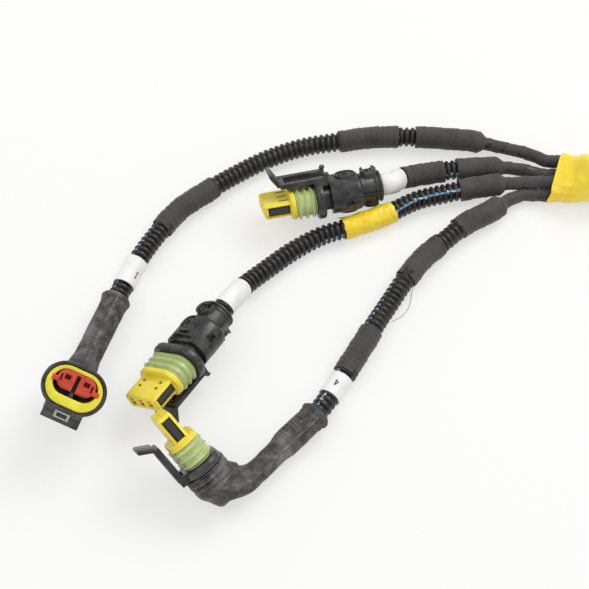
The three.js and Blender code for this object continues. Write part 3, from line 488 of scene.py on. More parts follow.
TAPES = {
    "a": [((99, 85.6, 5), (63, 91, 6)), ((54.6, 91.2, 6), (23.5, 88.6, 6)),
          ((-41.5, 59.4, 6), (-66, 34.6, 6))],
    "b": [((107, 71.4, 5), (83, 70.2, 6)), ((76.5, 69.4, 6), (55.0, 63.1, 8))],
    "c": [((107, 60, 7), (84, 56.8, 6)), ((48.9, 45.2, 6), (24.4, 34.9, 6))],
    "d": [((105.5, 50.8, 5), (81.8, 33.8, 6)), ((71.8, 24.6, 6), (54.4, 5.4, 6)),
          ((36.6, -23.6, 6), (23.4, -46.4, 6))],
}
LABELS = {
    "a": ((-77.2, 15.0, 7), (-83, 0.4, 7.4)), "b": ((53.8, 62.5, 9), (43.4, 56.4, 12)),
    "c": ((-25.6, -1.4, 8), (-34.0, -14.4, 12.6)), "d": ((22, -49, 6), (16, -59.2, 7)),
}

# Where the conduit's slit faces: the place along the branch, and the direction.
SLITS = {
    "a": [((60, 91, 6), (0, 0.6, -1)), ((-50, 52, 6), (-0.6, 0.4, 0.2)), ((-70, 28, 6), (-0.75, 0.2, 0.62)),
          ((-90, -20, 9), (-0.6, 0.2, 0.8))],
    "b": [((100, 71, 6), (0, -0.8, 0.3)), ((40, 55, 12), (0, -0.8, 0.3))],
    "c": [((100, 60, 7), (0, -0.45, 0.9)), ((60, 51, 6), (0, -0.45, 0.9)), ((26, 35, 6), (0.25, -0.85, 0.28)),
          ((2, 23, 5), (0.3, -0.95, -0.1)), ((-20, 4, 7), (0.3, -0.8, -0.6))],
    "d": [((100, 46, 6), (0, 0.5, -1)), ((54, 4.6, 6), (-0.7, 0.1, 0.2)), ((44, -10, 6), (-0.7, 0.2, 0.65)),
          ((30, -34, 6), (-0.75, 0.2, 0.55)), ((14, -62, 7), (-0.3, 0.2, 0.9))],
}


# Conduits

def slit_angle(name, s):
    """The direction that the slit faces, turning evenly between the places where it is known."""
    route = ROUTES[name]
    known = [route.nearest(point) for point, _ in SLITS[name]]
    angles = [route.facing(place, facing) for place, (_, facing) in zip(known, SLITS[name])]
    return np.interp(s, known, np.unwrap(angles))


def ribbed(s, start, pitch, radius, depth):
    """Round-topped ribs with narrower grooves between them."""
    groove = 0.5 + 0.5 * np.cos(2 * math.pi * (s - start) / pitch)
    return radius - depth * groove ** 2.1


def conduit_skin(route, name, start, end, columns=36):
    """The corrugated tube, open along its slit, with the slit's edges turned in."""
    s = np.linspace(start, end, int((end - start) / CONDUIT_PITCH * 9) + 1)
    radius = ribbed(s, start, CONDUIT_PITCH, CONDUIT_D / 2, GROOVE_DEPTH)
    groove = (CONDUIT_D / 2 - radius) / GROOVE_DEPTH
    knots = np.arange(start, end + 9, 3.1)
    uneven = np.interp(s, knots, [noise.noise(Vector((k * 1.7, len(name), 3.0))) for k in range(len(knots))])
    half = 0.10 + 0.09 * groove + 0.04 * uneven
    middle = slit_angle(name, s)
    turn = np.linspace(0.0, 1.0, columns)[None, :]
    angles = middle[:, None] + half[:, None] + turn * (2 * math.pi - 2 * half[:, None])
    radii = np.repeat(radius[:, None], columns, axis=1)
    angles = np.concatenate([angles[:, :1], angles, angles[:, -1:]], axis=1)
    radii = np.concatenate([radii[:, :1] - SLIT_LIP, radii, radii[:, -1:] - SLIT_LIP], axis=1)
    return route.skin(s, angles, radii).reshape(-1, 3), quads(len(s), columns + 2, around=False)


def round_skin(route, s, radii, columns=20):
    points = route.skin(s, around(columns)[None, :], np.asarray(radii)[:, None]).reshape(-1, 3)
    return points, quads(len(s), columns) + end_faces(len(points), columns)


def together(parts):
    points, faces, first = [], [], 0
    for more, quads_of in parts:
        points.append(np.asarray(more))
        faces += [tuple(i + first for i in face) for face in quads_of]
        first += len(more)
    return np.concatenate(points), faces


def strand(route, name, start, end, phase, sway):
    """One insulated wire just under the slit, winding round its neighbours."""
    s = np.linspace(start, end, int((end - start) / 0.9) + 2)
    turn = 2 * math.pi * s / WIRE_LEAD + phase
    centre_angle = slit_angle(name, s) + 0.20 * sway * np.sin(turn)
    centre_radius = 3.35 + 0.5 * (1 - sway) + 0.40 * sway * np.cos(turn)
    columns = 10
    round_angles = around(columns)
    point, _, u, v = route.frames(s)
    outward = np.cos(centre_angle)[:, None] * u + np.sin(centre_angle)[:, None] * v
    aside = -np.sin(centre_angle)[:, None] * u + np.cos(centre_angle)[:, None] * v
    centre = point + centre_radius[:, None] * outward
    points = (
        centre[:, None] + WIRE_RADIUS * np.cos(round_angles)[None, :, None] * outward[:, None]
        + WIRE_RADIUS * np.sin(round_angles)[None, :, None] * aside[:, None]
    ).reshape(-1, 3)
    return points, quads(len(s), columns)


def branch_cord(name):
    route = ROUTES[name]
    start = CONDUIT_START[name]
    end = RIM[name] + BOOT_DEPTH if name in RIM else route.length
    thin = np.linspace(GAP, start + 1, 24)
    core = np.linspace(start, end, 120)
    points, faces = together([
        conduit_skin(route, name, start, end),
        round_skin(route, thin, np.full(len(thin), BUNDLE_D / 2)),
        round_skin(route, core, np.full(len(core), CORE_RADIUS)),
    ])
    cord = new_piece(f"{name}_corrugated_cord", points, faces, look["conduit"])
    wires = []
    for colour, phase, sway in (("white", 0.0, 1.0), ("blue", 2.1, 0.25), ("blue", 4.2, 1.0)):
        wire = f"{name}_{colour}_wire_{len(wires) + 1}"
        points, faces = strand(route, name, start + 2, end - 2, phase, sway)
        wires.append(new_piece(wire, points, faces, look[f"{colour}_wire"]))
    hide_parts(f"{name}_bundle", f"{name}_conduit")
    path = row_metres(route.point(np.linspace(GAP, end, int(end / 3))))


# Tapes and labels

def tape_mesh(route, s, base, wall, lead, seed, ribs=0.10, columns=72, lumps=0.22, folds=0.12):
    """Wound tape: its laps step down along it, over the ribs beneath, and its ends are a little ragged."""
    turn = around(columns)
    lap = (s[:, None] / lead + turn[None, :] / (2 * math.pi) + 0.37 * seed) % 1.0
    over = 0.27 * (1.0 - lap) ** 1.4 - 0.15 * np.exp(-((lap - 0.965) / 0.022) ** 2)
    ridge = ribs * np.cos(2 * math.pi * s / CONDUIT_PITCH)[:, None]
    radii = np.asarray(base)[:, None] + wall + over + ridge
    points = route.skin(s, turn[None, :], radii)
    flat = points.reshape(-1, 3)
    slant = np.stack(np.broadcast_arrays(
        np.cos(turn)[None, :] * 1.2, np.sin(turn)[None, :] * 1.2, s[:, None] * 0.30 + turn[None, :] * 0.5,
    ), axis=2).reshape(-1, 3)
    swell = wrinkle(flat, 0.16, seed) * lumps - np.abs(wrinkle(slant, 1.0, seed + 5)) * folds * 2.2
    radii = radii + swell.reshape(radii.shape)
    ragged = 0.45 * wrinkle(np.stack([np.cos(turn) * 3, np.sin(turn) * 3, np.full(columns, seed)], 1), 1.0)
    rows = route.skin(s, turn[None, :], radii)
    tangent = route.frames(s)[1]
    edges = []
    for end, place in ((0, s[:1]), (-1, s[-1:])):
        rows[end] += tangent[end] * ragged[:, None]
        edge = route.skin(place, turn[None, :], np.full((1, columns), base[end] + 0.03))
        edges.append(edge + tangent[end] * ragged[:, None])
    stacked = np.concatenate([edges[0], rows, edges[1]]).reshape(-1, 3)
    return stacked, quads(len(s) + 2, columns)


def stations(start, end, step=0.32):
    return np.linspace(start, end, max(4, int(abs(end - start) / step)))


def ribbon(points, widths, across, thickness=0.22):
    """A thin strip through the points, as wide as given, tapering to its tip."""
    p = np.asarray(points, float)
    along = np.gradient(p, axis=0)
    along /= np.linalg.norm(along, axis=1, keepdims=True)
    side = np.asarray(across, float) - along * (along @ np.asarray(across, float))[:, None]
    side /= np.linalg.norm(side, axis=1, keepdims=True)
    up = np.cross(side, along)
    half = np.asarray(widths, float)[:, None] / 2
    rings = np.stack([
        p + side * half + up * thickness / 2, p - side * half + up * thickness / 2,
        p - side * half - up * thickness / 2, p + side * half - up * thickness / 2,
    ], axis=1)
    return rings.reshape(-1, 3), quads(len(p), 4) + end_faces(len(p) * 4, 4)


def flap(route, s, beyond, direction, width, lift):
    """A loose corner of tape that leaves its end and lifts off, narrowing to a point."""
    share = np.linspace(0, 1, 9)
    places = s + beyond * share
    point, _, u, v = route.frames(places)
    angle = route.facing(s, direction)
    away = math.cos(angle) * u + math.sin(angle) * v
    aside = -math.sin(angle) * u + math.cos(angle) * v
    centre = point + away * (CONDUIT_D / 2 + 0.55 + lift * share ** 2)[:, None]
    return ribbon(centre, width * (1 - 0.82 * share), aside[0])


def thread(points, radius=0.11):
    """A fine loose thread of the cloth."""
    line = Route(points, (0, 0, 1))
    s = np.linspace(0, line.length, 40)
    return round_skin(line, s, np.full(len(s), radius), 6)


def tape(name, index, material):
    route = ROUTES[name]
    start, end = (route.nearest(point) for point in TAPES[name][index])
    seed = index + 3 * "abcd".index(name)
    tails = []
    for beyond, direction, width, lift in FLAPS.get((name, index), ()):
        edge = end if beyond > 0 else start
        tails.append(flap(route, edge - math.copysign(FLAP_ROOT, beyond), beyond, direction, width, lift))
    if (name, index) == THREADED:
        tails.append(thread(THREAD))
    if index == 0:
        onto = CONDUIT_START[name]
        s = stations(GAP, end)
        base = np.interp(s, [0, onto - 4, onto - 0.6, onto + 1], [2.6, 2.6, CONDUIT_D / 2, CONDUIT_D / 2])
        made = tape_mesh(route, s, base, TAPE_WALL - 0.2, 8.5, seed, ribs=0.0, lumps=0.3)
        tails.append(into_mouth(name))
    else:
        s = stations(start, end)
        base = np.full(len(s), CONDUIT_D / 2)
        if material == "yellow_tape":
            made = tape_mesh(route, s, base, TAPE_WALL - 0.1, 11.0, seed, ribs=0.05, folds=0.26)
        else:
            made = tape_mesh(route, s, base, TAPE_WALL - 0.2, 9.5, seed, ribs=0.07)
    points, faces = together([made, *tails])
    piece = new_piece(f"{name}_wound_tape_{index + 1}", points, faces, look[material], 50)
    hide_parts(f"{name}_tape_{index + 1}")


def into_mouth(name):
    """The taped bundle goes on a little way inside the breakout."""
    start = Vector(ROUTES[name].line[0])
    inside = vec(start.x + STUB_LENGTH, MOUTH_Y + (start.y - MOUTH_Y) * STUB_SPREAD[0],
                 STUB_Z + (start.z - STUB_Z) * STUB_SPREAD[1])
    line = Route([inside, start + vec(1.2, 0, 0), start - vec(GAP + 0.8, 0, 0)], (0, 0, 1))
    s = np.linspace(0, line.length, 14)
    return round_skin(line, s, np.full(len(s), BUNDLE_D / 2 + 0.28), 24)


STUB_LENGTH, STUB_Z, STUB_SPREAD = 4.2, 6.6, (0.76, 0.7)

# Each tape's loose corners: how far past its end or, below zero, its start, the side, the width and the lift.
FLAPS = {
    ("d", 1): [(6.0, (-0.5, -0.7, 0.5), 5.0, 0.7), (-4.0, (-0.6, 0.3, 0.7), 3.4, 0.3)],
    ("d", 2): [(4.5, (0.6, -0.6, 0.5), 3.6, 0.6)],
    ("c", 1): [(4.6, (-0.3, 0.9, 0.4), 4.4, 0.9)],
    ("a", 2): [(3.4, (0.2, -0.9, 0.4), 3.0, 0.3)],
}
FLAP_ROOT = 3.0
THREADED = ("d", 1)
THREAD = [(57.8, 3.0, 3.2), (57.4, 0.4, 0.5), (55.8, -7, 0.2), (52.4, -12, 0.2), (47.2, -15.3, 0.2)]
YELLOW_TAPE = ("c", 1)
STROKES = {
    "1": [[(0.15, 0.78), (0.5, 1.0), (0.5, 0.0)], [(0.2, 0.0), (0.8, 0.0)]],
    "4": [[(0.66, 0.0), (0.66, 1.0), (0.05, 0.3), (0.95, 0.3)]],
}


DIGIT_HEIGHT, DIGIT_WIDTH, STROKE_WIDTH = 3.4, 2.108, 0.48


def number(name, digit, facing, share):
    """A plain printed number on the label, its strokes lying on the paper."""
    route = ROUTES[name]
    start, end = (route.nearest(point) for point in LABELS[name])
    middle = start + (end - start) * share
    turn = route.facing(middle, facing)
    radius = CONDUIT_D / 2 + LABEL_WALL + 0.10
    parts = []
    for stroke in STROKES[digit]:
        corners = np.array([((y - 0.5) * DIGIT_HEIGHT, (x - 0.5) * DIGIT_WIDTH) for x, y in stroke])
        for a, b in zip(corners, corners[1:]):
            side = np.array([b[1] - a[1], a[0] - b[0]]) / np.linalg.norm(b - a) * STROKE_WIDTH / 2
            line = a + (b - a) * np.linspace(0, 1, 7)[:, None]
            edges = np.concatenate([line + side, line - side])
            angles = turn + edges[:, 1:] / radius
            points = route.skin(middle + edges[:, 0], angles, np.full(angles.shape, radius))[:, 0]
            parts.append((points, [(i, i + 1, i + 8, i + 7) for i in range(6)]))
    points, faces = together(parts)
    piece = new_piece(f"{name}_label_number", points, faces, look["ink"])


def label(name):
    route = ROUTES[name]
    start, end = (route.nearest(point) for point in LABELS[name])
    s = stations(start, end, 0.5)
    columns = 72
    turn = around(columns)
    seam = route.facing(start, (0.0, 0.3, -1.0))
    past = (turn[None, :] - seam) % (2 * math.pi)
    radii = np.full((len(s), columns), CONDUIT_D / 2 + LABEL_WALL) + 0.14 * (past < 1.0)
    flat = route.skin(s, turn[None, :], radii).reshape(-1, 3)
    radii = radii + 0.05 * wrinkle(flat, 0.4, 2.0).reshape(radii.shape)
    paper = route.skin(s, turn[None, :], radii)
    inside = np.full((1, columns), CONDUIT_D / 2 + 0.02)
    first, last = (route.skin(place, turn[None, :], inside) for place in (s[:1], s[-1:]))
    points = np.concatenate([first, paper, last]).reshape(-1, 3)
    piece = new_piece(f"{name}_paper_label", points, quads(len(s) + 2, columns), look["label"])
    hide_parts(f"{name}_label")


# Solids in a connector's own frame: x from its wires to its mating face, z towards its latch

ADD, CUT, KEEP, ROUND = "UNION", "DIFFERENCE", "INTERSECT", "ROUND"


def outline(width, height, radius=None, corner=9):
    """A rectangle with round corners, across y and z."""
    most = min(width, height) / 2
    r = most if radius is None else min(radius, most)
    points = []
    for quarter, sy, sz in ((0, 1, 1), (1, -1, 1), (2, -1, -1), (3, 1, -1)):
        for i in range(corner + 1):
            angle = (quarter + i / corner) * math.pi / 2
            y, z = sy * (width / 2 - r), sz * (height / 2 - r)
            points.append((y + r * math.cos(angle), z + r * math.sin(angle)))
    return points


def body(*sections, corner=9, aside=0.0):
    """Rings along x, from a place, width, height, and if they matter a corner radius and a lift."""
    rings = []
    for x, width, height, *more in sections:
        radius = more[0] if more else None
        lift = more[1] if len(more) > 1 else 0.0
        rings.append([(x, y + aside, z + lift) for y, z in outline(width, height, radius, corner)])
    return rings


def block(x0, x1, y0, y1, z0, z1):
    return [[(x, y0, z0), (x, y1, z0), (x, y1, z1), (x, y0, z1)] for x in (x0, x1)]


def sides(hand, near, far):
    """Two distances from the middle, as coordinates on one hand of it, the lower first."""
    return sorted((hand * near, hand * far))


def plate(side, y0, y1):
    """A side view in x and z, as thick as from y0 to y1."""
    return [[(x, y, z) for x, z in side] for y in (y0, y1)]


def pad(x, y, length, width, z0, z1, draft=0.0):
    return [[(x + px, y + py, z) for px, py in outline(length - taper, width - taper)]
            for z, taper in ((z0, 0.0), (z1, draft))]


def temporary(rings):
    n = len(rings[0])
    points = [p for ring in rings for p in ring]
    mesh = bpy.data.meshes.new("step")
    mesh.from_pydata(points, [], quads(len(rings), n) + [
        tuple(range(n)), tuple(range(len(points) - n, len(points)))])
    work = bmesh.new()
    work.from_mesh(mesh)
    bmesh.ops.remove_doubles(work, verts=work.verts, dist=1e-3)
    bmesh.ops.recalc_face_normals(work, faces=work.faces)
    work.to_mesh(mesh)
    work.free()
    made = bpy.data.objects.new("step", mesh)
    bpy.context.scene.collection.objects.link(made)
    return made


def rounded(whole, bevel):
    flat = whole.modifiers.new("flat", "DECIMATE")
    flat.decimate_type = "DISSOLVE"
    flat.angle_limit = math.radians(1.0)
    edge = whole.modifiers.new("edge", "BEVEL")
    edge.width = bevel
    edge.segments = 2
    edge.limit_method = "ANGLE"
    edge.angle_limit = math.radians(35)
    edge.use_clamp_overlap = False


def carved(*steps, bevel=0.18):
    """One solid from several forms: each is added, cut or kept. The edges made up to a ROUND are rounded."""
    whole = temporary(steps[0][1])
    tools = []
    if not any(operation == ROUND for operation, _ in steps):
        steps = (*steps, (ROUND, None))
    for operation, rings in steps[1:]:
        if operation == ROUND:
            rounded(whole, bevel)
            continue
        tools.append(temporary(rings))
        step = whole.modifiers.new("step", "BOOLEAN")
        step.operation = operation
        step.object = tools[-1]
        step.solver = "MANIFOLD"
    mesh = bpy.data.meshes.new_from_object(whole.evaluated_get(bpy.context.evaluated_depsgraph_get()))
    for used in (whole, *tools):
        bpy.data.objects.remove(used)
    return mesh


def sleeve(outer, inner):
    """A hollow form from its outer rings and its inner ones."""
    rings = [*outer, *reversed(inner)]
    n = len(rings[0])
    faces = quads(len(rings), n)
    last = (len(rings) - 1) * n
    faces += [(last + j, last + (j + 1) % n, (j + 1) % n, j) for j in range(n)]
    mesh = bpy.data.meshes.new("sleeve")
    mesh.from_pydata([p for ring in rings for p in ring], [], faces)
    return mesh


def frame_of(where):
    x = where["axis"].normalized()
    z = (where["latch"] - x * where["latch"].dot(x)).normalized()
    turn = Matrix((x, z.cross(x), z)).transposed().to_4x4()
    turn.translation = where["flange"] + SHIFT
    return Matrix.Scale(MM, 4) @ turn


def seat(name, mesh, where, finish, slot, *nodes, crease=33.0):
    mesh.transform(frame_of(where))
    mesh.materials.clear()
    mesh.materials.append(look[finish])
    piece = shown(name, mesh, crease)
    if nodes:
        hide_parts(*nodes)
    return piece


# Connectors

def stations_of(p):
    seal = p["flange"][2] / 2
    collar = seal + p["seal"][2]
    nose = collar + p["collar"][2]
    return seal, collar, nose, nose + p["nose"][2]


def latch_ends(p):
    return -p["flange"][2] / 2 - p["setback"], -p["flange"][2] / 2 + p["rail_reach"]


def latch(p):
    """The latch: two rails from a root on the flange to a bar, and a tab that stands up from it."""
    root, front = latch_ends(p)
    half, low = p["latch_width"] / 2, p["rail_height"]
    top = low + p["rail_thickness"]
    inside = half - p["rail"]
    length, thickness, angle = p["tab"]
    ahead = np.array([math.cos(math.radians(angle)), math.sin(math.radians(angle))])
    under = np.array([ahead[1], -ahead[0]])
    start = np.array([front - 0.4, top - 0.2])
    round_end = start + ahead * (length - thickness / 2) + under * thickness / 2
    tip = [round_end + thickness / 2 * (math.cos(a) * ahead - math.sin(a) * under)
           for a in np.linspace(math.pi / 2, -math.pi / 2, 9)]
    side = [tuple(q) for q in [start, *tip, start + under * thickness, start - ahead * 0.8 + under * 0.5]]
    parts = [
        (ADD, block(root, p["flange"][2] / 2, -half, half, p["flange"][1] / 2 - 1.5, top)),
        (CUT, block(root - 1, p["flange"][2] / 2 + 1, -inside + 0.5, inside - 0.5, low - 0.9, top + 1)),
        (ADD, block(front - 2.6, front, -half, half, low, top)),
        (ADD, plate(side, -half, half)),
    ]
    for hand in (-1, 1):
        y0, y1 = sides(hand, half, inside)
        parts.append((ADD, block(root, front, y0, y1, low, top)))
        if p["post"]:
            post = [(root, low), (root + 2, low), (root + 2, p["post"] - 0.8), (root + 1.2, p["post"]),
                    (root - 0.5, p["post"]), (root - 0.5, p["post"] - 1.0), (root, p["post"] - 1.2)]
            parts.append((ADD, plate(post, y0, y1)))
    return parts


def cavities(p):
    places = []
    for i in range(p["ways"] * p["rows"]):
        row, way = divmod(i, p["ways"])
        y = (way - (p["ways"] - 1) / 2) * p["pitch"]
        z = (row - (p["rows"] - 1) / 2) * p["row_pitch"]
        places.append((y, z))
    return places


def key_holes(nose, half_length, half_width, low, high):
    """A block at each hole of the key side."""
    forms = []
    for hand in (-1, 1):
        for place in KEY_HOLES:
            x, y = nose + place, hand * KEY_HOLE_ASIDE
            forms.append(block(x - half_length, x + half_length, y - half_width, y + half_width, low, high))
    return forms


def window_panels(p):
    """The housing's flat sides, which show in the lock's side windows, in a lighter grey than the housing as
    a painted reflection.
    """
    _, _, nose, nose_end = stations_of(p)
    face, tall = p["nose"][0] / 2, p["nose"][1] / 2 - 1.5
    parts = []
    for hand in (-1, 1):
        across = sides(hand, face - 1.5, face - 0.4)
        for low, high in ((-tall + 0.35, tall - 0.8), (tall - 0.5, tall - 0.25)):
            parts.append((ADD, block(nose + 1.0, nose_end - 2.4, *across, low, high)))
    return carved(*parts, bevel=0.08)


def plug_housing(p):
    seal, collar, nose, nose_end = stations_of(p)
    width, height, _ = p["flange"]
    back = -seal
    spigot_w, spigot_h, spigot_l = p["spigot"]
    block_w, block_h = (size - 2 * (p["wall"] + GAP) for size in p["nose"][:2])
    end = nose_end - p["wall"] - GAP
    rim = ((0, 1.6), (0.25, 0.7), (0.8, 0))
    sections = [(back + x, width - less, height - less) for x, less in rim]
    sections += [(seal - x, width - less, height - less) for x, less in reversed(rim)]
    spigot = (spigot_w, spigot_h, spigot_h / 3)
    steps = [
        (ADD, body(*sections)),
        (ADD, body((back - spigot_l, *spigot), (back + 1, *spigot))),
        (ADD, body((seal - 1, *p["core"]), (collar - GAP, *p["core"]))),
        (ADD, body((collar - 1, block_w, block_h, 0.8), (end, block_w, block_h, 0.8))),
        *latch(p),
    ]
    # ribs show in the slots on the lock's latch side, and pegs in the holes on its key side
    half = p["nose"][1] / 2
    inner = block_h / 2 - 0.5
    for y in (-p["pitch"], 0, p["pitch"]):
        steps.append((ADD, block(nose + 0.7, nose + 5.4, y - 0.8, y + 0.8, inner, half - 0.25)))
    steps += [(ADD, peg) for peg in key_holes(nose, 0.7, 0.9, -half + 0.5, -inner)]
    reach = back - spigot_l - 1 if p["rows"] == 1 else end - 2.5
    for y, z in cavities(p):
        steps.append((CUT, block(reach, end + 1, y - 1.6, y + 1.6, z - 1.4, z + 1.4)))
    return carved(*steps, bevel=0.2)


def ridged_seal(p):
    seal, collar, _, _ = stations_of(p)
    places = np.linspace(seal + GAP, collar - GAP, 73)
    share = (places - places[0]) / (places[-1] - places[0]) * 3 % 1.0
    drops = 1.38 * p["groove"] * np.minimum(1.5 * np.abs(2 * share - 1), 1) ** 1.2
    outer = [[(x, y, z) for y, z in outline(p["seal"][0] - 2 * d, p["seal"][1] - 2 * d, corner=14)]
             for x, d in zip(places, drops)]
    bore = outline(p["core"][0] + 3 * GAP, p["core"][1] + 3 * GAP, corner=14)
    return sleeve(outer, [[(x, y, z) for y, z in bore] for x in (places[0], places[-1])])


def plug_lock(p):
    _, collar, nose, end = stations_of(p)
    width, height = p["nose"][:2]
    half, c = height / 2, p["chamfer"]
    cw, ch = p["collar"][:2]
    inside = end - p["wall"]
    pocket = (width - 2 * p["wall"], height - 2 * p["wall"], 0.8)
    steps = [
        (ADD, body((collar, cw, ch), (collar + 1.25, cw, ch), (collar + 1.4, cw - 0.5, ch - 0.5),
                   (collar + 1.65, cw - 0.5, ch - 0.5), (collar + 1.8, cw - 0.1, ch - 0.1),
                   (nose - 0.4, cw - 0.1, ch - 0.1), (nose, cw - 0.9, ch - 0.9))),
        (ADD, body((nose - 0.5, width, height, 1.6), (end - c, width, height, 1.6),
                   (end, width - 1.5 * c, height - c, 1.2))),
        (CUT, body((collar - 1, *pocket), (inside, *pocket))),
    ]
    for hand in (-1, 1):
        window = sides(hand, width / 2 - 1.6, width / 2 + 1.6)
        steps.append((CUT, block(nose + 0.6, end - 1.9, *window, -half + 1.5, half - 1.5)))
    steps.append((ROUND, None))
    for y, z in cavities(p):
        mouths = ((z - 0.5, z + 1.7, 1.55), (z - 2.3, z - 1.05, 1.3))
        for low, high, wide in mouths:
            steps.append((CUT, block(inside - 1, end + 1, y - wide, y + wide, low, high)))
        for low, high, wide in mouths:
            lead_in = [(end + x, 2 * wide + more_wide, high - low + more_high, 0.1, (low + high) / 2)
                       for x, more_wide, more_high in ((-0.35, -0.1, -0.1), (0.3, 0.9, 0.8))]
            steps.append((CUT, body(*lead_in, aside=y)))
    steps += [(CUT, hole) for hole in key_holes(nose, 0.8, 1.0, -half - 1, -half + 1.3)]
    for y in (-p["pitch"], 0, p["pitch"]):
        steps.append((CUT, block(nose + 0.4, nose + 5.6, y - 0.95, y + 0.95, half - 1.3, half + 1)))
    return carved(*steps, bevel=0.22)



def latch_slot_painted_shade(p):
    """The sunk web between the latch's rails, in flat near-black as painted shade in the slot between them.
    """
    root, front = latch_ends(p)
    inside = p["latch_width"] / 2 - p["rail"]
    low = p["rail_height"]
    web = block(root + 1.5, front - 2.5, -inside - 0.4, inside + 0.4, low + 0.1, low + 0.7)
    lines = [(CUT, block(root + x, root + x + 0.5, -inside, inside, low + 0.5, low + 2)) for x in (5, 9, 13)]
    return carved((ADD, web), *lines, bevel=0.1)


def plug(name, p, where):
    # painted shade: the latch web in near-black, for the shade in the slot between the rails
    seat(f"{name}_latch_web_painted_shade", latch_slot_painted_shade(p), where, "dark", "black_housing")
    # painted reflection: the window panels in a lighter grey than the housing
    seat(f"{name}_window_panels", window_panels(p), where, "panel", "black_housing")
    seat(f"{name}_moulded_housing", plug_housing(p), where, "housing", "black_housing", f"{name}_housing")
    seat(f"{name}_ridged_seal", ridged_seal(p), where, "green", "green_seal", f"{name}_ring_seal")
    seat(f"{name}_terminal_lock", plug_lock(p), where, "yellow", "yellow_lock", f"{name}_lock")


def rounded_end(x, width, height, radius, steps=7):
    """Sections that round a form's end over, from nothing at x."""
    made = []
    for i in range(steps):
        t = i / (steps - 1)
        inset = radius * (1 - math.sqrt(1 - (1 - t) ** 2))
        made.append((x + radius * t, width - 2 * inset, height - 2 * inset))
    return made


def backshell_half(hand):
    """One half: hand is 1 on the latch's side and -1 on the key's."""
    front = -SLIM["flange"][2] / 2 - SHELL["standoff"]
    body_end = front - SHELL["length"]
    neck_end = body_end - SHELL["neck"]
    neck, width, height = SHELL["neck_d"], SHELL["width"], SHELL["height"]
    boss_x, clip_x = front - SHELL["boss_place"], (body_end + neck_end) / 2 + 0.6

    def raised(x, y, length, wide, low, high):
        return pad(x, y, length, wide, *sides(hand, low, high))

    rings = [(0, 1.2), (0.3, 0.2), (0.6, 0), (1.3, 0), (1.6, 1.6), (2.2, 1.6), (2.5, 0.4), (3.2, 0.4),
             (3.5, 1.4), (4.0, 1.4), (4.3, 0.2)]
    sw, sh, sl = SLIM["spigot"]
    steps = [
        (ADD, body(*rounded_end(body_end, width, height, 2.6), (front, width, height))),
        (ADD, body(*((neck_end + x, neck - less, neck - less) for x, less in rings),
                   (body_end + 3, neck - 0.2, neck - 0.2))),
        (ADD, raised(boss_x, 0, 10.4, 9.0, height / 2 - 1.4, height / 2 + 1.1)),
        (ADD, raised(clip_x, 0, 8.0, 9.6, neck / 2 - 2, neck / 2 + (2.2 if hand > 0 else 1.0))),
        (CUT, raised(boss_x - 0.3, 0, 8.2, 6.6, height / 2 + 0.4, height / 2 + 3)),
        (ADD, raised(boss_x - 0.3, 0, 6.4, 4.8, height / 2 - 1, height / 2 + 1.0)),
        (CUT, raised(boss_x + 0.2, 0.2, 3.4, 1.8, height / 2 + 0.3, height / 2 + 3)),
    ]
    if hand > 0:
        dip = [(-2.6, 4), (-2.2, 1.1), (-1.4, 0.5), (1.4, 0.5), (2.2, 1.1), (2.6, 4)]
        steps.append((CUT, plate([(clip_x + x, neck / 2 + z) for x, z in dip], -6, 6)))
    else:
        steps.append((CUT, raised(clip_x + 0.8, 0.6, 5.2, 4.6, neck / 2 - 0.4, neck / 2 + 3)))
        steps.append((ADD, raised(clip_x + 0.8, 0.6, 3.4, 2.6, neck / 2 - 1.0, neck / 2 + 0.9)))
        corner = [(clip_x - 1.4, -3.4, 4.4, 0.9), (clip_x - 3.1, -1.8, 0.9, 4.0)]
        for x, y, length, wide in corner:
            steps.append((CUT, raised(x, y, length, wide, neck / 2 - 0.5, neck / 2 + 3)))
        # the notch in the front edge, the shallow slot behind it and the hooks on both sides
        steps.append((CUT, block(front - 2.4, front + 2, -6.6, 4.6, -height / 2 - 2, -height / 2 + 1.9)))
        steps.append((CUT, raised(front - 3.9, -0.6, 1.2, 6.4, height / 2 - 0.9, height / 2 + 0.3)))
        for side in (-1, 1):
            edge = sides(side, width / 2 - 1.9, width / 2 + 1)
            steps.append((CUT, block(boss_x - 1.4, boss_x + 2.4, *edge, -2.9, -0.6)))
            steps.append((CUT, block(boss_x + 1.2, boss_x + 2.4, *edge, -4.2, -2.7)))
    socket = (sw + 2 * GAP, sh + 2 * GAP, sh / 3 + GAP)
    depth = SHELL["conduit_depth"]
    steps += [
        (CUT, body((-SLIM["flange"][2] / 2 - sl - GAP, *socket), (front + 1, *socket))),
        (CUT, body((neck_end + depth, 9, 9), (front - 1, 9, 9))),
        (CUT, body((neck_end - 1, 10.8, 10.8), (neck_end + depth + GAP, 10.8, 10.8))),
        (KEEP, block(neck_end - 5, front + 5, -60, 60, *sides(hand, GAP / 2, 60))),
    ]
    return carved(*steps, bevel=0.16)


def backshell(name, where):
    seat(f"{name}_backshell_latch_side", backshell_half(1), where, "housing", "black_housing",
         f"{name}_backshell_latch_half")
    seat(f"{name}_backshell_key_side", backshell_half(-1), where, "housing", "black_housing",
         f"{name}_backshell_key_half")


# The shrouded two-way connector

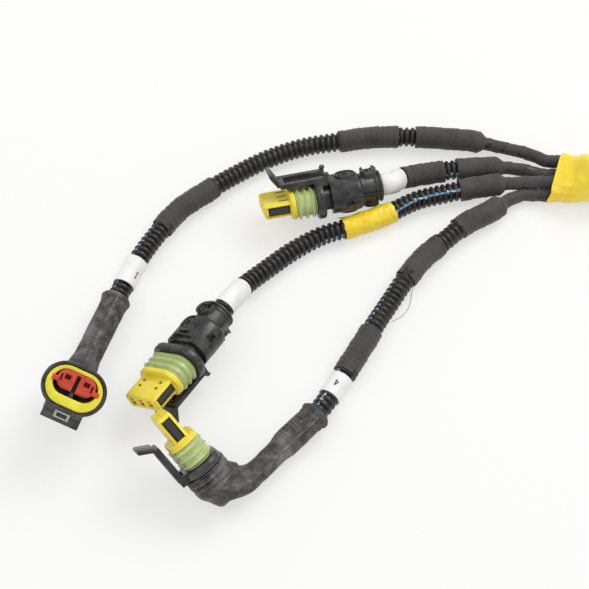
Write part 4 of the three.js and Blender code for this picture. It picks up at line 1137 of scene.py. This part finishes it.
def shrouded_housing(p):
    width, height, length = p["flange"]
    back, front = -length / 2, length / 2 + p["shroud"][2]
    sw, sh, sl = p["spigot"]
    rim_w, rim_h = p["shroud"][:2]
    wall = 2 * p["shroud_wall"]
    bw, bh = p["block"]
    tab_x = back + p["rail_reach"]
    core = (bw, bh, 1, p["block_lift"])
    steps = [
        (ADD, body((-back - 1, rim_w - 1.4, rim_h - 1.4), (-back, rim_w, rim_h), (front, rim_w, rim_h))),
        (CUT, body((-back, rim_w - wall, rim_h - wall), (front + 1, rim_w - wall, rim_h - wall))),
        (ADD, body((back - sl, sw, sh, sh / 3), (back + 1, sw, sh, sh / 3))),
        (ADD, body((back, width - 1, height - 1), (back + 0.6, width, height), (-back, width, height))),
        (ADD, body((-back - 1, *core), (front - p["recess"] - 1.6, *core))),
        *latch(p),
    ]
    z = p["block_lift"] - 1
    for middle in (-p["pitch"] / 2, p["pitch"] / 2):
        steps.append((CUT, block(back - sl - 1, front + 1, middle - 1.7, middle + 1.7, z - 1.3, z + 1.3)))
    half, low = p["latch_width"] / 2, p["rail_height"]
    steps.append((ADD, block(front - 3, front - 2.1, -0.95, 0.95, -6.0, 4.4)))
    # the tab's foot closes on the shroud, with a window above it
    steps.append((ADD, block(tab_x - 4, tab_x + 1.7, -half, half, low - 1.4, low + 1.6)))
    steps.append((CUT, block(tab_x + 0.9, tab_x + 4, -2.5, 2.5, low + 1.0, low + 2.9)))
    return carved(*steps, bevel=0.24)


def painted_shade_mouths(p):
    """Painted shade for the unlit depth behind the lock: near-black plates round each contact and along the
    middle slot.
    """
    x = p["flange"][2] / 2 + p["shroud"][2] - p["recess"] - 1.55
    z = p["block_lift"] - 1
    middles = (-p["pitch"] / 2, p["pitch"] / 2)
    shades = [(ADD, block(x, x + 0.2, middle - 1.9, middle + 1.9, z - 1.6, z + 1.6)) for middle in middles]
    holes = [(CUT, block(x - 1, x + 1, middle - 0.5, middle + 0.6, z - 0.45, z + 0.1)) for middle in middles]
    return carved((ADD, block(x, x + 0.2, -0.9, 0.9, z - 1.6, z + 5.6)), *shades, *holes, bevel=0.05)


def window_rim_painted_glint(p):
    """The rim round the window of the tab, in pale grey as a painted glint."""
    x, low = -p["flange"][2] / 2 + p["rail_reach"] + 1.2, p["rail_height"]
    return carved((ADD, block(x, x + 1.25, -3.5, 3.5, low + 0.4, low + 3.5)),
                  (CUT, block(x - 1, x + 3, -2.4, 2.4, low + 1.1, low + 2.8)),
                  (CUT, block(x + 0.9, x + 3, 2.9, 5, low, low + 4)), bevel=0.14)


def shroud_ring(p):
    front = p["flange"][2] / 2 + p["shroud"][2] - 0.3
    wall = 2 * p["shroud_wall"] + 2 * GAP
    w, h = p["shroud"][0] - wall, p["shroud"][1] - wall
    ow, oh, lift = p["opening"]
    outer = [(front - x, w - less, h - less) for x, less in ((10, 0), (0.7, 0), (0.25, 0.3), (0, 1.0))]
    inner = [(front - x, ow + wider, oh + higher, None, lift) for x, wider, higher in (
        (10, -0.8, -0.6), (3, -0.8, -0.6), (0.6, -0.3, -0.2), (0.15, 0, 0), (0, 0.5, 0.5))]
    return sleeve(body(*outer, corner=14), body(*inner, corner=14))


def shroud_lock(p):
    front = p["flange"][2] / 2 + p["shroud"][2] - p["recess"]
    w, h, length = p["lock"]
    back, z = front - length, p["block_lift"]
    bw, bh = (size + 2 * GAP for size in p["block"])
    steps = [
        (ADD, body((back, w, h, 4.3, z), (front - 0.7, w, h, 4.3, z),
                   (front - 0.25, w - 0.3, h - 0.3, 4.2, z), (front, w - 0.9, h - 0.9, 3.9, z))),
        (CUT, body((back - 1, bw, bh, 1, z), (front - 1.3, bw, bh, 1, z))),
    ]
    for hand in (-1, 1):
        for back_of, reach in ((front - 1.6, -0.2), (front + 0.45, 2.0)):
            ear = sides(hand, w / 2 - 0.9, w / 2 + reach)
            steps.append((ADD, block(back_of, front + 1.0, *ear, z + 0.1, z + 2.4)))
    steps.append((ROUND, None))
    steps.append((CUT, block(front - 1.5, front + 1, -0.95, 0.95, z - 3.3, z + h)))
    for hand in (-1, 1):
        funnel = [(front - 2, 2.5, 1.9, 0.2), (front - 0.5, 2.5, 1.9, 0.2), (front + 0.4, 4.0, 3.3, 0.3)]
        steps.append((CUT, body(*((*section, z - 1) for section in funnel), aside=hand * p["pitch"] / 2)))
        slot = sides(hand, 6.78, 7.62)
        steps.append((CUT, block(front - 1.7, front + 1, *slot, z - 1.6, z + 1.5)))
        foot = sides(hand, 1.8, 6.4)
        steps.append((CUT, block(front - 0.9, front + 1, *foot, z + h / 2 - 0.75, z + h / 2 + 1)))
    return carved(*steps, bevel=0.2)


def shrouded_connector(name, p, where):
    seat(f"{name}_moulded_housing", shrouded_housing(p), where, "housing", "black_housing", f"{name}_housing")
    # painted glint: the tab window's rim in pale grey
    seat(f"{name}_window_rim_painted_glint", window_rim_painted_glint(p), where, "painted_glint", "black_housing")
    # painted shade: near-black plates behind the lock, with a hole for each contact
    seat(f"{name}_painted_shade_mouths", painted_shade_mouths(p), where, "dark", "black_housing")
    seat(f"{name}_shroud_ring", shroud_ring(p), where, "yellow_seal", "yellow_seal", f"{name}_ring_seal")
    seat(f"{name}_terminal_lock", shroud_lock(p), where, "red", "red_lock", f"{name}_lock")


# Boots

def eased(at, places, values, blur):
    """Values between places: straight lines, smoothed over the blur, in millimetres."""
    fine = np.linspace(places[0], places[-1], 1600)
    line = np.interp(fine, places, values)
    reach = max(1, int(blur / (fine[1] - fine[0])))
    weights = np.hanning(2 * reach + 3)[1:-1]
    padded = np.pad(line, reach, mode="edge")
    return np.interp(at, fine, np.convolve(padded, weights / weights.sum(), mode="valid"))


# The boots: widths and heights along them, then for each one where its bend starts and ends and how it leans.
BOOT = {
    "tail": 12.8, "wall": 1.8, "knee": (21.0, 18.0), "lip": (26.2, 19.2), "lip_back": 9.0,
    "cup": (27.6, 20.0), "cup_back": 7.5, "bead": 0.85, "rib_height": 0.60, "rib_pitch": 2.8, "ribbed": 15,
}
BEND = {
    "a": {"waist": 12.8, "waist_end": 0.60, "elbow_d": 15.0, "elbow": 0.72, "knee": 0.80, "lean": (0, 0, 0)},
    "d": {"waist": 10.8, "waist_end": 0.60, "elbow_d": 13.6, "elbow": 0.71, "knee": 0.80,
          "lean": (1.3, 1.5, 0.3)},
}


def elbow_boot(name):
    route, rim, bend = ROUTES[name], RIM[name], BEND[name]
    span = route.length - rim
    places = np.array([0, 0.30 * span, 0.37 * span, bend["waist_end"] * span, bend["elbow"] * span,
                       bend["knee"] * span, span - BOOT["lip_back"], span - BOOT["cup_back"], span])
    start = [BOOT["tail"], BOOT["tail"], bend["waist"], bend["waist"], bend["elbow_d"]]
    widths, heights = (
        [*start, knee, lip, cup, cup] for knee, lip, cup in zip(BOOT["knee"], BOOT["lip"], BOOT["cup"])
    )
    d = np.linspace(0, span, 260)
    w, h = eased(d, places, widths, 2.2), eased(d, places, heights, 2.2)
    bead = BOOT["bead"] * np.exp(-((d - 1.7) / 1.25) ** 4) + 0.3 * np.exp(-((d - 4.4) / 0.8) ** 2)
    ribs = BOOT["rib_height"] * np.cos(2 * math.pi * (d - span) / BOOT["rib_pitch"])
    ribs *= np.clip((d - span + BOOT["ribbed"]) / 2, 0, 1)
    corner = 34
    rows = []
    point, _, u, v = route.frames(rim + d)
    point = point + np.exp(-((d / span - 0.72) / 0.11) ** 2)[:, None] * np.array(bend["lean"])
    for i in range(len(d)):
        ring = np.array(outline(h[i], w[i], corner=corner))
        away = ring / np.linalg.norm(ring, axis=1, keepdims=True)
        outward = away[:, :1] * u[i] + away[:, 1:] * v[i]
        swell = bead[i] + ribs[i] * np.clip(outward @ FOLDS[name] + 0.45, 0.15, 1)
        angle = np.arctan2(away[:, 1], away[:, 0])
        swell = swell + seam(name, angle) + panel(name, outward, d[i] / span, d[i])
        ring = ring + away * np.reshape(swell, (-1, 1))
        rows.append(point[i] + ring[:, :1] * u[i] + ring[:, 1:] * v[i])
    rows = np.array(rows)
    lumps = wrinkle(rows.reshape(-1, 3), 0.12, 4.0) * 0.22 + wrinkle(rows.reshape(-1, 3), 0.5, 9.0) * 0.12
    centre = rows.mean(axis=1, keepdims=True)
    outward = rows - centre
    outward /= np.linalg.norm(outward, axis=2, keepdims=True)
    rows = rows + outward * lumps.reshape(rows.shape[0], rows.shape[1], 1)

    def inner(depth, width, height):
        ring = np.array(outline(height, width, corner=corner))
        p, _, iu, iv = (value[0] for value in route.frames(np.array([rim + depth])))
        return p + ring[:, :1] * iu + ring[:, 1:] * iv

    bore = CONDUIT_D + 0.9
    cup = [size - 2 * BOOT["wall"] for size in BOOT["cup"]]
    rings = [inner(4.0, bore, bore), inner(0.15, bore, bore), *rows,
             inner(span, *cup), inner(span - 1.5, *cup)]
    points = np.concatenate(rings)
    piece = new_piece(f"{name}_rubber_boot", points, quads(len(rings), len(rows[0])), look["rubber"], 60)
    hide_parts(f"{name}_boot")


def seam(name, angle):
    """The moulding line along the boot: a thin groove with a faint step, on each side."""
    step, groove = 0.0, 0.0
    for opposite in (math.pi, 0):
        off = (angle - SEAMS[name] + opposite) % (2 * math.pi) - math.pi
        groove = groove + np.exp(-(off / 0.035) ** 2)
        step = step + np.exp(-((off - 0.09) / 0.05) ** 2)
    return 0.03 * step - 0.14 * groove


def panel(name, outward, share, depth):
    """The bare raised panel behind the rim, and on its edge a row of short ribs."""
    facing, ribs, first, last = PANELS[name]
    along = np.clip((share - first) / 0.02, 0, 1) * np.clip((last - share) / 0.025, 0, 1)
    flat = np.clip((outward @ facing - 0.78) / 0.06, 0, 1)
    beside = np.clip((outward @ ribs - 0.84) / 0.08, 0, 1)
    teeth = np.clip(1.4 * math.cos(2 * math.pi * depth / 2.1), -0.4, 1)
    return along * (0.32 * flat + 0.30 * beside * teeth)


def toward(x, y, z):
    return np.array(Vector((x, y, z)).normalized())


SEAMS = {"a": 0.0, "d": math.pi / 2, "trunk": math.pi / 2}
FOLDS = {"a": toward(0, 0, -1), "d": toward(-0.7, -0.6, 0.45)}
PANELS = {
    "a": (toward(0.9, 0.2, 0.5), toward(1, 0.1, 0.1), 0.10, 0.60),
    "d": (toward(0.35, -0.75, 0.85), toward(-0.35, 0.25, 0.9), 0.09, 0.33),
}


# Trunk and breakout

TRUNK_Y, TRUNK_Z = 61.0, 12.0
TURN_X, TURN_RADIUS, TURN_ANGLE, TRUNK_RISE = 196.0, 92.0, math.radians(64), 1.2
BREAKOUT_LENGTH, TAPER_LENGTH = 46.0, 14.0
TRUNK_BOOT = {"tail": 24.6, "cup": (44.0, 26.0), "length": 44.0, "cup_length": 12.0, "conduit_depth": 16.0}


def trunk_turn(share):
    return vec(
        TURN_X + TURN_RADIUS * math.sin(share * TURN_ANGLE),
        TRUNK_Y - TURN_RADIUS * (1 - math.cos(share * TURN_ANGLE)),
        TRUNK_Z + TRUNK_RISE * share * share * (3 - 2 * share),
    )


HEADING = vec(math.cos(TURN_ANGLE), -math.sin(TURN_ANGLE), 0)
TRUNK_TURNED = trunk_turn(1)
TRUNK_CONDUIT_END = TRUNK_TURNED + HEADING * (TRUNK_BOOT["conduit_depth"] + 12)
TRUNK_BOOT_END = TRUNK_CONDUIT_END + HEADING * (TRUNK_BOOT["length"] - TRUNK_BOOT["conduit_depth"])
MAIN = {
    "flange": TRUNK_BOOT_END + HEADING * (WIDE["flange"][2] / 2 + GAP),
    "axis": HEADING, "latch": vec(0, 0, 1),
}
TRUNK_ROUTE = Route([
    *((x, TRUNK_Y, TRUNK_Z) for x in (BREAKOUT_END_X - 24 + GAP, BREAKOUT_END_X, TURN_X)),
    *(trunk_turn(share) for share in (0.2, 0.4, 0.6, 0.8, 1)), TRUNK_TURNED + HEADING * 6, TRUNK_CONDUIT_END,
], (0, 0, 1))


def trunk_cord():
    route = TRUNK_ROUTE
    end = route.length - GAP
    s = np.linspace(0, end, int(end / TRUNK_PITCH * 10))
    radius = ribbed(s, 0, TRUNK_PITCH, TRUNK_D / 2, 1.5)
    columns = 56
    turn = around(columns)
    slit = np.exp(-(((turn + math.pi) % (2 * math.pi) - math.pi + math.pi / 2) / 0.07) ** 2)
    points = route.skin(s, turn[None, :], radius[:, None] - 1.3 * slit[None, :]).reshape(-1, 3)
    faces = quads(len(s), columns) + end_faces(len(points), columns)
    cord = new_piece("trunk_corrugated_cord", points, faces, look["conduit"])
    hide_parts("trunk_conduit")
    path = row_metres(route.point(np.linspace(0, end, 40)))


def trunk_boot():
    b = TRUNK_BOOT
    d = np.linspace(0, b["length"], 130)
    places = [0, b["conduit_depth"], b["length"] - b["cup_length"], b["length"]]
    w = eased(d, places, [b["tail"], b["tail"], b["cup"][0] - 2, b["cup"][0]], 4)
    h = eased(d, places, [b["tail"], b["tail"], b["cup"][1] - 0.6, b["cup"][1]], 4)
    bead = 0.6 * np.exp(-((d - 2.0) / 1.7) ** 4) + 0.3 * np.exp(-((d - 5.6) / 0.9) ** 2)
    ribs = 0.3 * np.cos(2 * math.pi * (d - b["length"]) / 3.0) * np.clip((d - b["length"] + 13) / 2, 0, 1)
    offset = -b["length"] - GAP - WIDE["flange"][2] / 2
    rows = []
    for i in range(len(d)):
        ring = np.array(outline(w[i], h[i], corner=18))
        away = ring / np.linalg.norm(ring, axis=1, keepdims=True)
        angle = np.arctan2(away[:, 1], away[:, 0])
        ring = ring + away * (bead[i] + ribs[i] + seam("trunk", angle))[:, None]
        rows.append(np.column_stack([np.full(len(ring), d[i] + offset), ring]))
    rows = np.array(rows)
    flat = rows.reshape(-1, 3)
    rows[:, :, 1:] *= (1 + 0.012 * wrinkle(flat, 0.12, 6.0).reshape(rows.shape[:2]))[:, :, None]

    def inner(depth, width, height):
        ring = np.array(outline(width, height, corner=18))
        return np.column_stack([np.full(len(ring), depth + offset), ring])

    bore, mouth = TRUNK_D + 0.9, (b["cup"][0] - 5.4, b["cup"][1] - 6.4)
    rings = [inner(5, bore, bore), inner(0.1, bore, bore), *rows,
             inner(b["length"], *mouth), inner(b["length"] - 2, *mouth)]
    mesh = bpy.data.meshes.new("boot")
    mesh.from_pydata(np.concatenate(rings).tolist(), [], quads(len(rings), len(rows[0])))
    seat("trunk_rubber_boot", mesh, MAIN, "rubber", "rubber_boot", "trunk_boot", crease=60)


def breakout():
    """The yellow wrap: gathered folds at its mouth, slanting creases and laps along its barrel."""
    t = np.linspace(0, BREAKOUT_LENGTH, 200)
    places = [0, TAPER_LENGTH * 0.6, TAPER_LENGTH, BREAKOUT_LENGTH]
    w, h, middle_y, middle_z = (eased(t, places, values, 2.0) for values in (
        [28, 25, 24, 24], [11.4, 16.8, 24, 24],
        [MOUTH_Y, 62.6, TRUNK_Y, TRUNK_Y], [6.3, 8.9, TRUNK_Z, TRUNK_Z],
    ))
    slant = np.clip(1 - t / TAPER_LENGTH, 0, 1) * MOUTH_SLANT
    rows = []
    for i in range(len(t)):
        ring = np.array(outline(w[i], h[i], corner=30))
        rows.append(np.column_stack([MOUTH_X + t[i] + ring[:, 0] * slant[i], ring[:, 0] + middle_y[i],
                                     ring[:, 1] + middle_z[i]]))
    rows = np.array(rows)
    columns = rows.shape[1]
    centre = rows.mean(axis=1, keepdims=True)
    away = rows - centre
    away[:, :, 0] = 0
    away /= np.linalg.norm(away, axis=2, keepdims=True)
    angle = np.arctan2(away[:, :, 2], away[:, :, 1])
    along = np.repeat(t[:, None], columns, axis=1)
    lap = (along / 13.0 + angle / (2 * math.pi)) % 1.0
    turned = np.stack([np.cos(angle), np.sin(angle)], axis=2)
    gathered = np.concatenate([turned * 5.0, along[:, :, None] * 0.05], axis=2).reshape(-1, 3)
    slanted = np.concatenate([turned * 1.6, (along + angle * 3.0)[:, :, None] * 0.34], axis=2).reshape(-1, 3)
    folds = np.abs(wrinkle(gathered, 1.0, 3.0)).reshape(angle.shape) * np.clip(1.25 - along / 15, 0, 1)
    creases = np.abs(wrinkle(slanted, 1.0, 8.0)).reshape(angle.shape)
    rise = 0.45 * (1 - lap) ** 1.6 - 0.9 * folds - 0.55 * creases + 0.2
    rows = rows + away * rise[:, :, None]
    edge = np.column_stack([np.cos(angle[0]) * 2.4, np.sin(angle[0]) * 2.4, np.zeros(columns)])
    ragged = wrinkle(edge, 1.0, 1.0)
    fade = np.exp(-t / 3.0)[:, None]
    rows[:, :, 0] += ragged[None, :] * fade * 1.3
    thin = rows[0] - away[0] * 0.5
    deep = rows[14] - away[14] * 1.4
    deep[:, 0] += 1.0
    end = rows[-1] - away[-1] * 1.2
    inside = end.copy()
    inside[:, 0] -= 6.0
    points = np.concatenate([deep[None], thin[None], rows, end[None], inside[None]]).reshape(-1, 3)
    piece = new_piece("breakout_wrap", points, quads(len(rows) + 4, columns), look["yellow_tape"], 50)
    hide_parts("breakout_tape")
    # painted shade: a near-black plug inside the wrap's mouth, for the shade between the bundles
    hollow = rows[10:16:5] - away[10:16:5] * 1.5
    faces = [tuple(range(columns))] + quads(2, columns)
    core = new_piece("breakout_mouth_painted_shade", hollow.reshape(-1, 3), faces, look["dark"])


def branch(name):
    branch_cord(name)
    for index in range(len(TAPES[name])):
        tape(name, index, "yellow_tape" if (name, index) == YELLOW_TAPE else "tape")
    label(name)


for branch_name in "abcd":
    branch(branch_name)
number("a", "1", (0.75, -0.2, 0.6), 0.62)
number("d", "4", (-0.1, -0.2, 0.95), 0.5)
for booted in "ad":
    elbow_boot(booted)
shrouded_connector("a", SHROUD, PLACE["a"])
plug("b", SLIM, PLACE["b"])
plug("c", SLIM, PLACE["c"])
plug("d", BOOTED, PLACE["d"])
backshell("b", PLACE["b"])
backshell("c", PLACE["c"])
breakout()
trunk_cord()
trunk_boot()
plug("trunk", WIDE, MAIN)
for node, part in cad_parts.items():
    if "_contact_" in node:
        for part_slot in part.material_slots:
            part_slot.material = look["contact"]


# The scene

PAPER_GLOW = 0.62
SKY_STRENGTH = 0.62


def stage_and_light():
    scene = bpy.context.scene
    bpy.ops.mesh.primitive_plane_add(size=6.0, location=(0, 0, 0))
    floor = bpy.context.object
    floor.name = "floor"
    paper = Finish("floor_paper", 0.9)
    paper.colour(srgb(247, 247, 246))
    paper.shader.inputs["Specular IOR Level"].default_value = 0.1
    rays = paper.tree.nodes.new("ShaderNodeLightPath").outputs
    seen = rays["Is Camera Ray"]
    for ray in ("Is Glossy Ray", "Is Transmission Ray"):
        seen = paper.maths("MAXIMUM", seen, rays[ray])
    glow = paper.node("ShaderNodeEmission", Color=srgb(250, 250, 248))
    blend = paper.tree.nodes.new("ShaderNodeMixShader")
    for index, source in enumerate((paper.times(seen, PAPER_GLOW), paper.shader.outputs[0], glow.outputs[0])):
        paper.tree.links.new(source, blend.inputs[index])
    paper.tree.links.new(blend.outputs[0], paper.tree.nodes["Material Output"].inputs["Surface"])
    floor.data.materials.append(paper.material)

    scene.world = bpy.data.worlds.new("studio")
    scene.world.use_nodes = True
    sky = scene.world.node_tree.nodes["Background"]
    sky.inputs["Color"].default_value = (1.0, 0.995, 0.985, 1.0)
    sky.inputs["Strength"].default_value = SKY_STRENGTH

    def softbox(name, at, size, watts):
        light = bpy.data.lights.new(name, "AREA")
        light.shape = "RECTANGLE"
        light.size, light.size_y = size
        light.energy = watts
        lamp = bpy.data.objects.new(name, light)
        lamp.location = at
        lamp.rotation_euler = (Vector((0, 0, 0)) - Vector(at)).to_track_quat("-Z", "Y").to_euler()
        scene.collection.objects.link(lamp)

    softbox("key", (0.9, 0.9, 1.6), (1.4, 1.0), 22.0)
    softbox("fill", (-1.1, -0.2, 1.7), (1.2, 1.2), 7.0)

    camera = bpy.data.cameras.new("camera")
    camera.lens = CAMERA_LENS
    camera.sensor_width = CAMERA_SENSOR
    camera.sensor_fit = "AUTO"
    camera.clip_start = 0.01
    view = bpy.data.objects.new("camera", camera)
    view.location = (CAMERA_AT + SHIFT) * MM
    view.rotation_euler = (-CAMERA_AT).to_track_quat("-Z", "Y").to_euler()
    scene.collection.objects.link(view)
    scene.camera = view
    scene.view_settings.view_transform = "Standard"


stage_and_light()
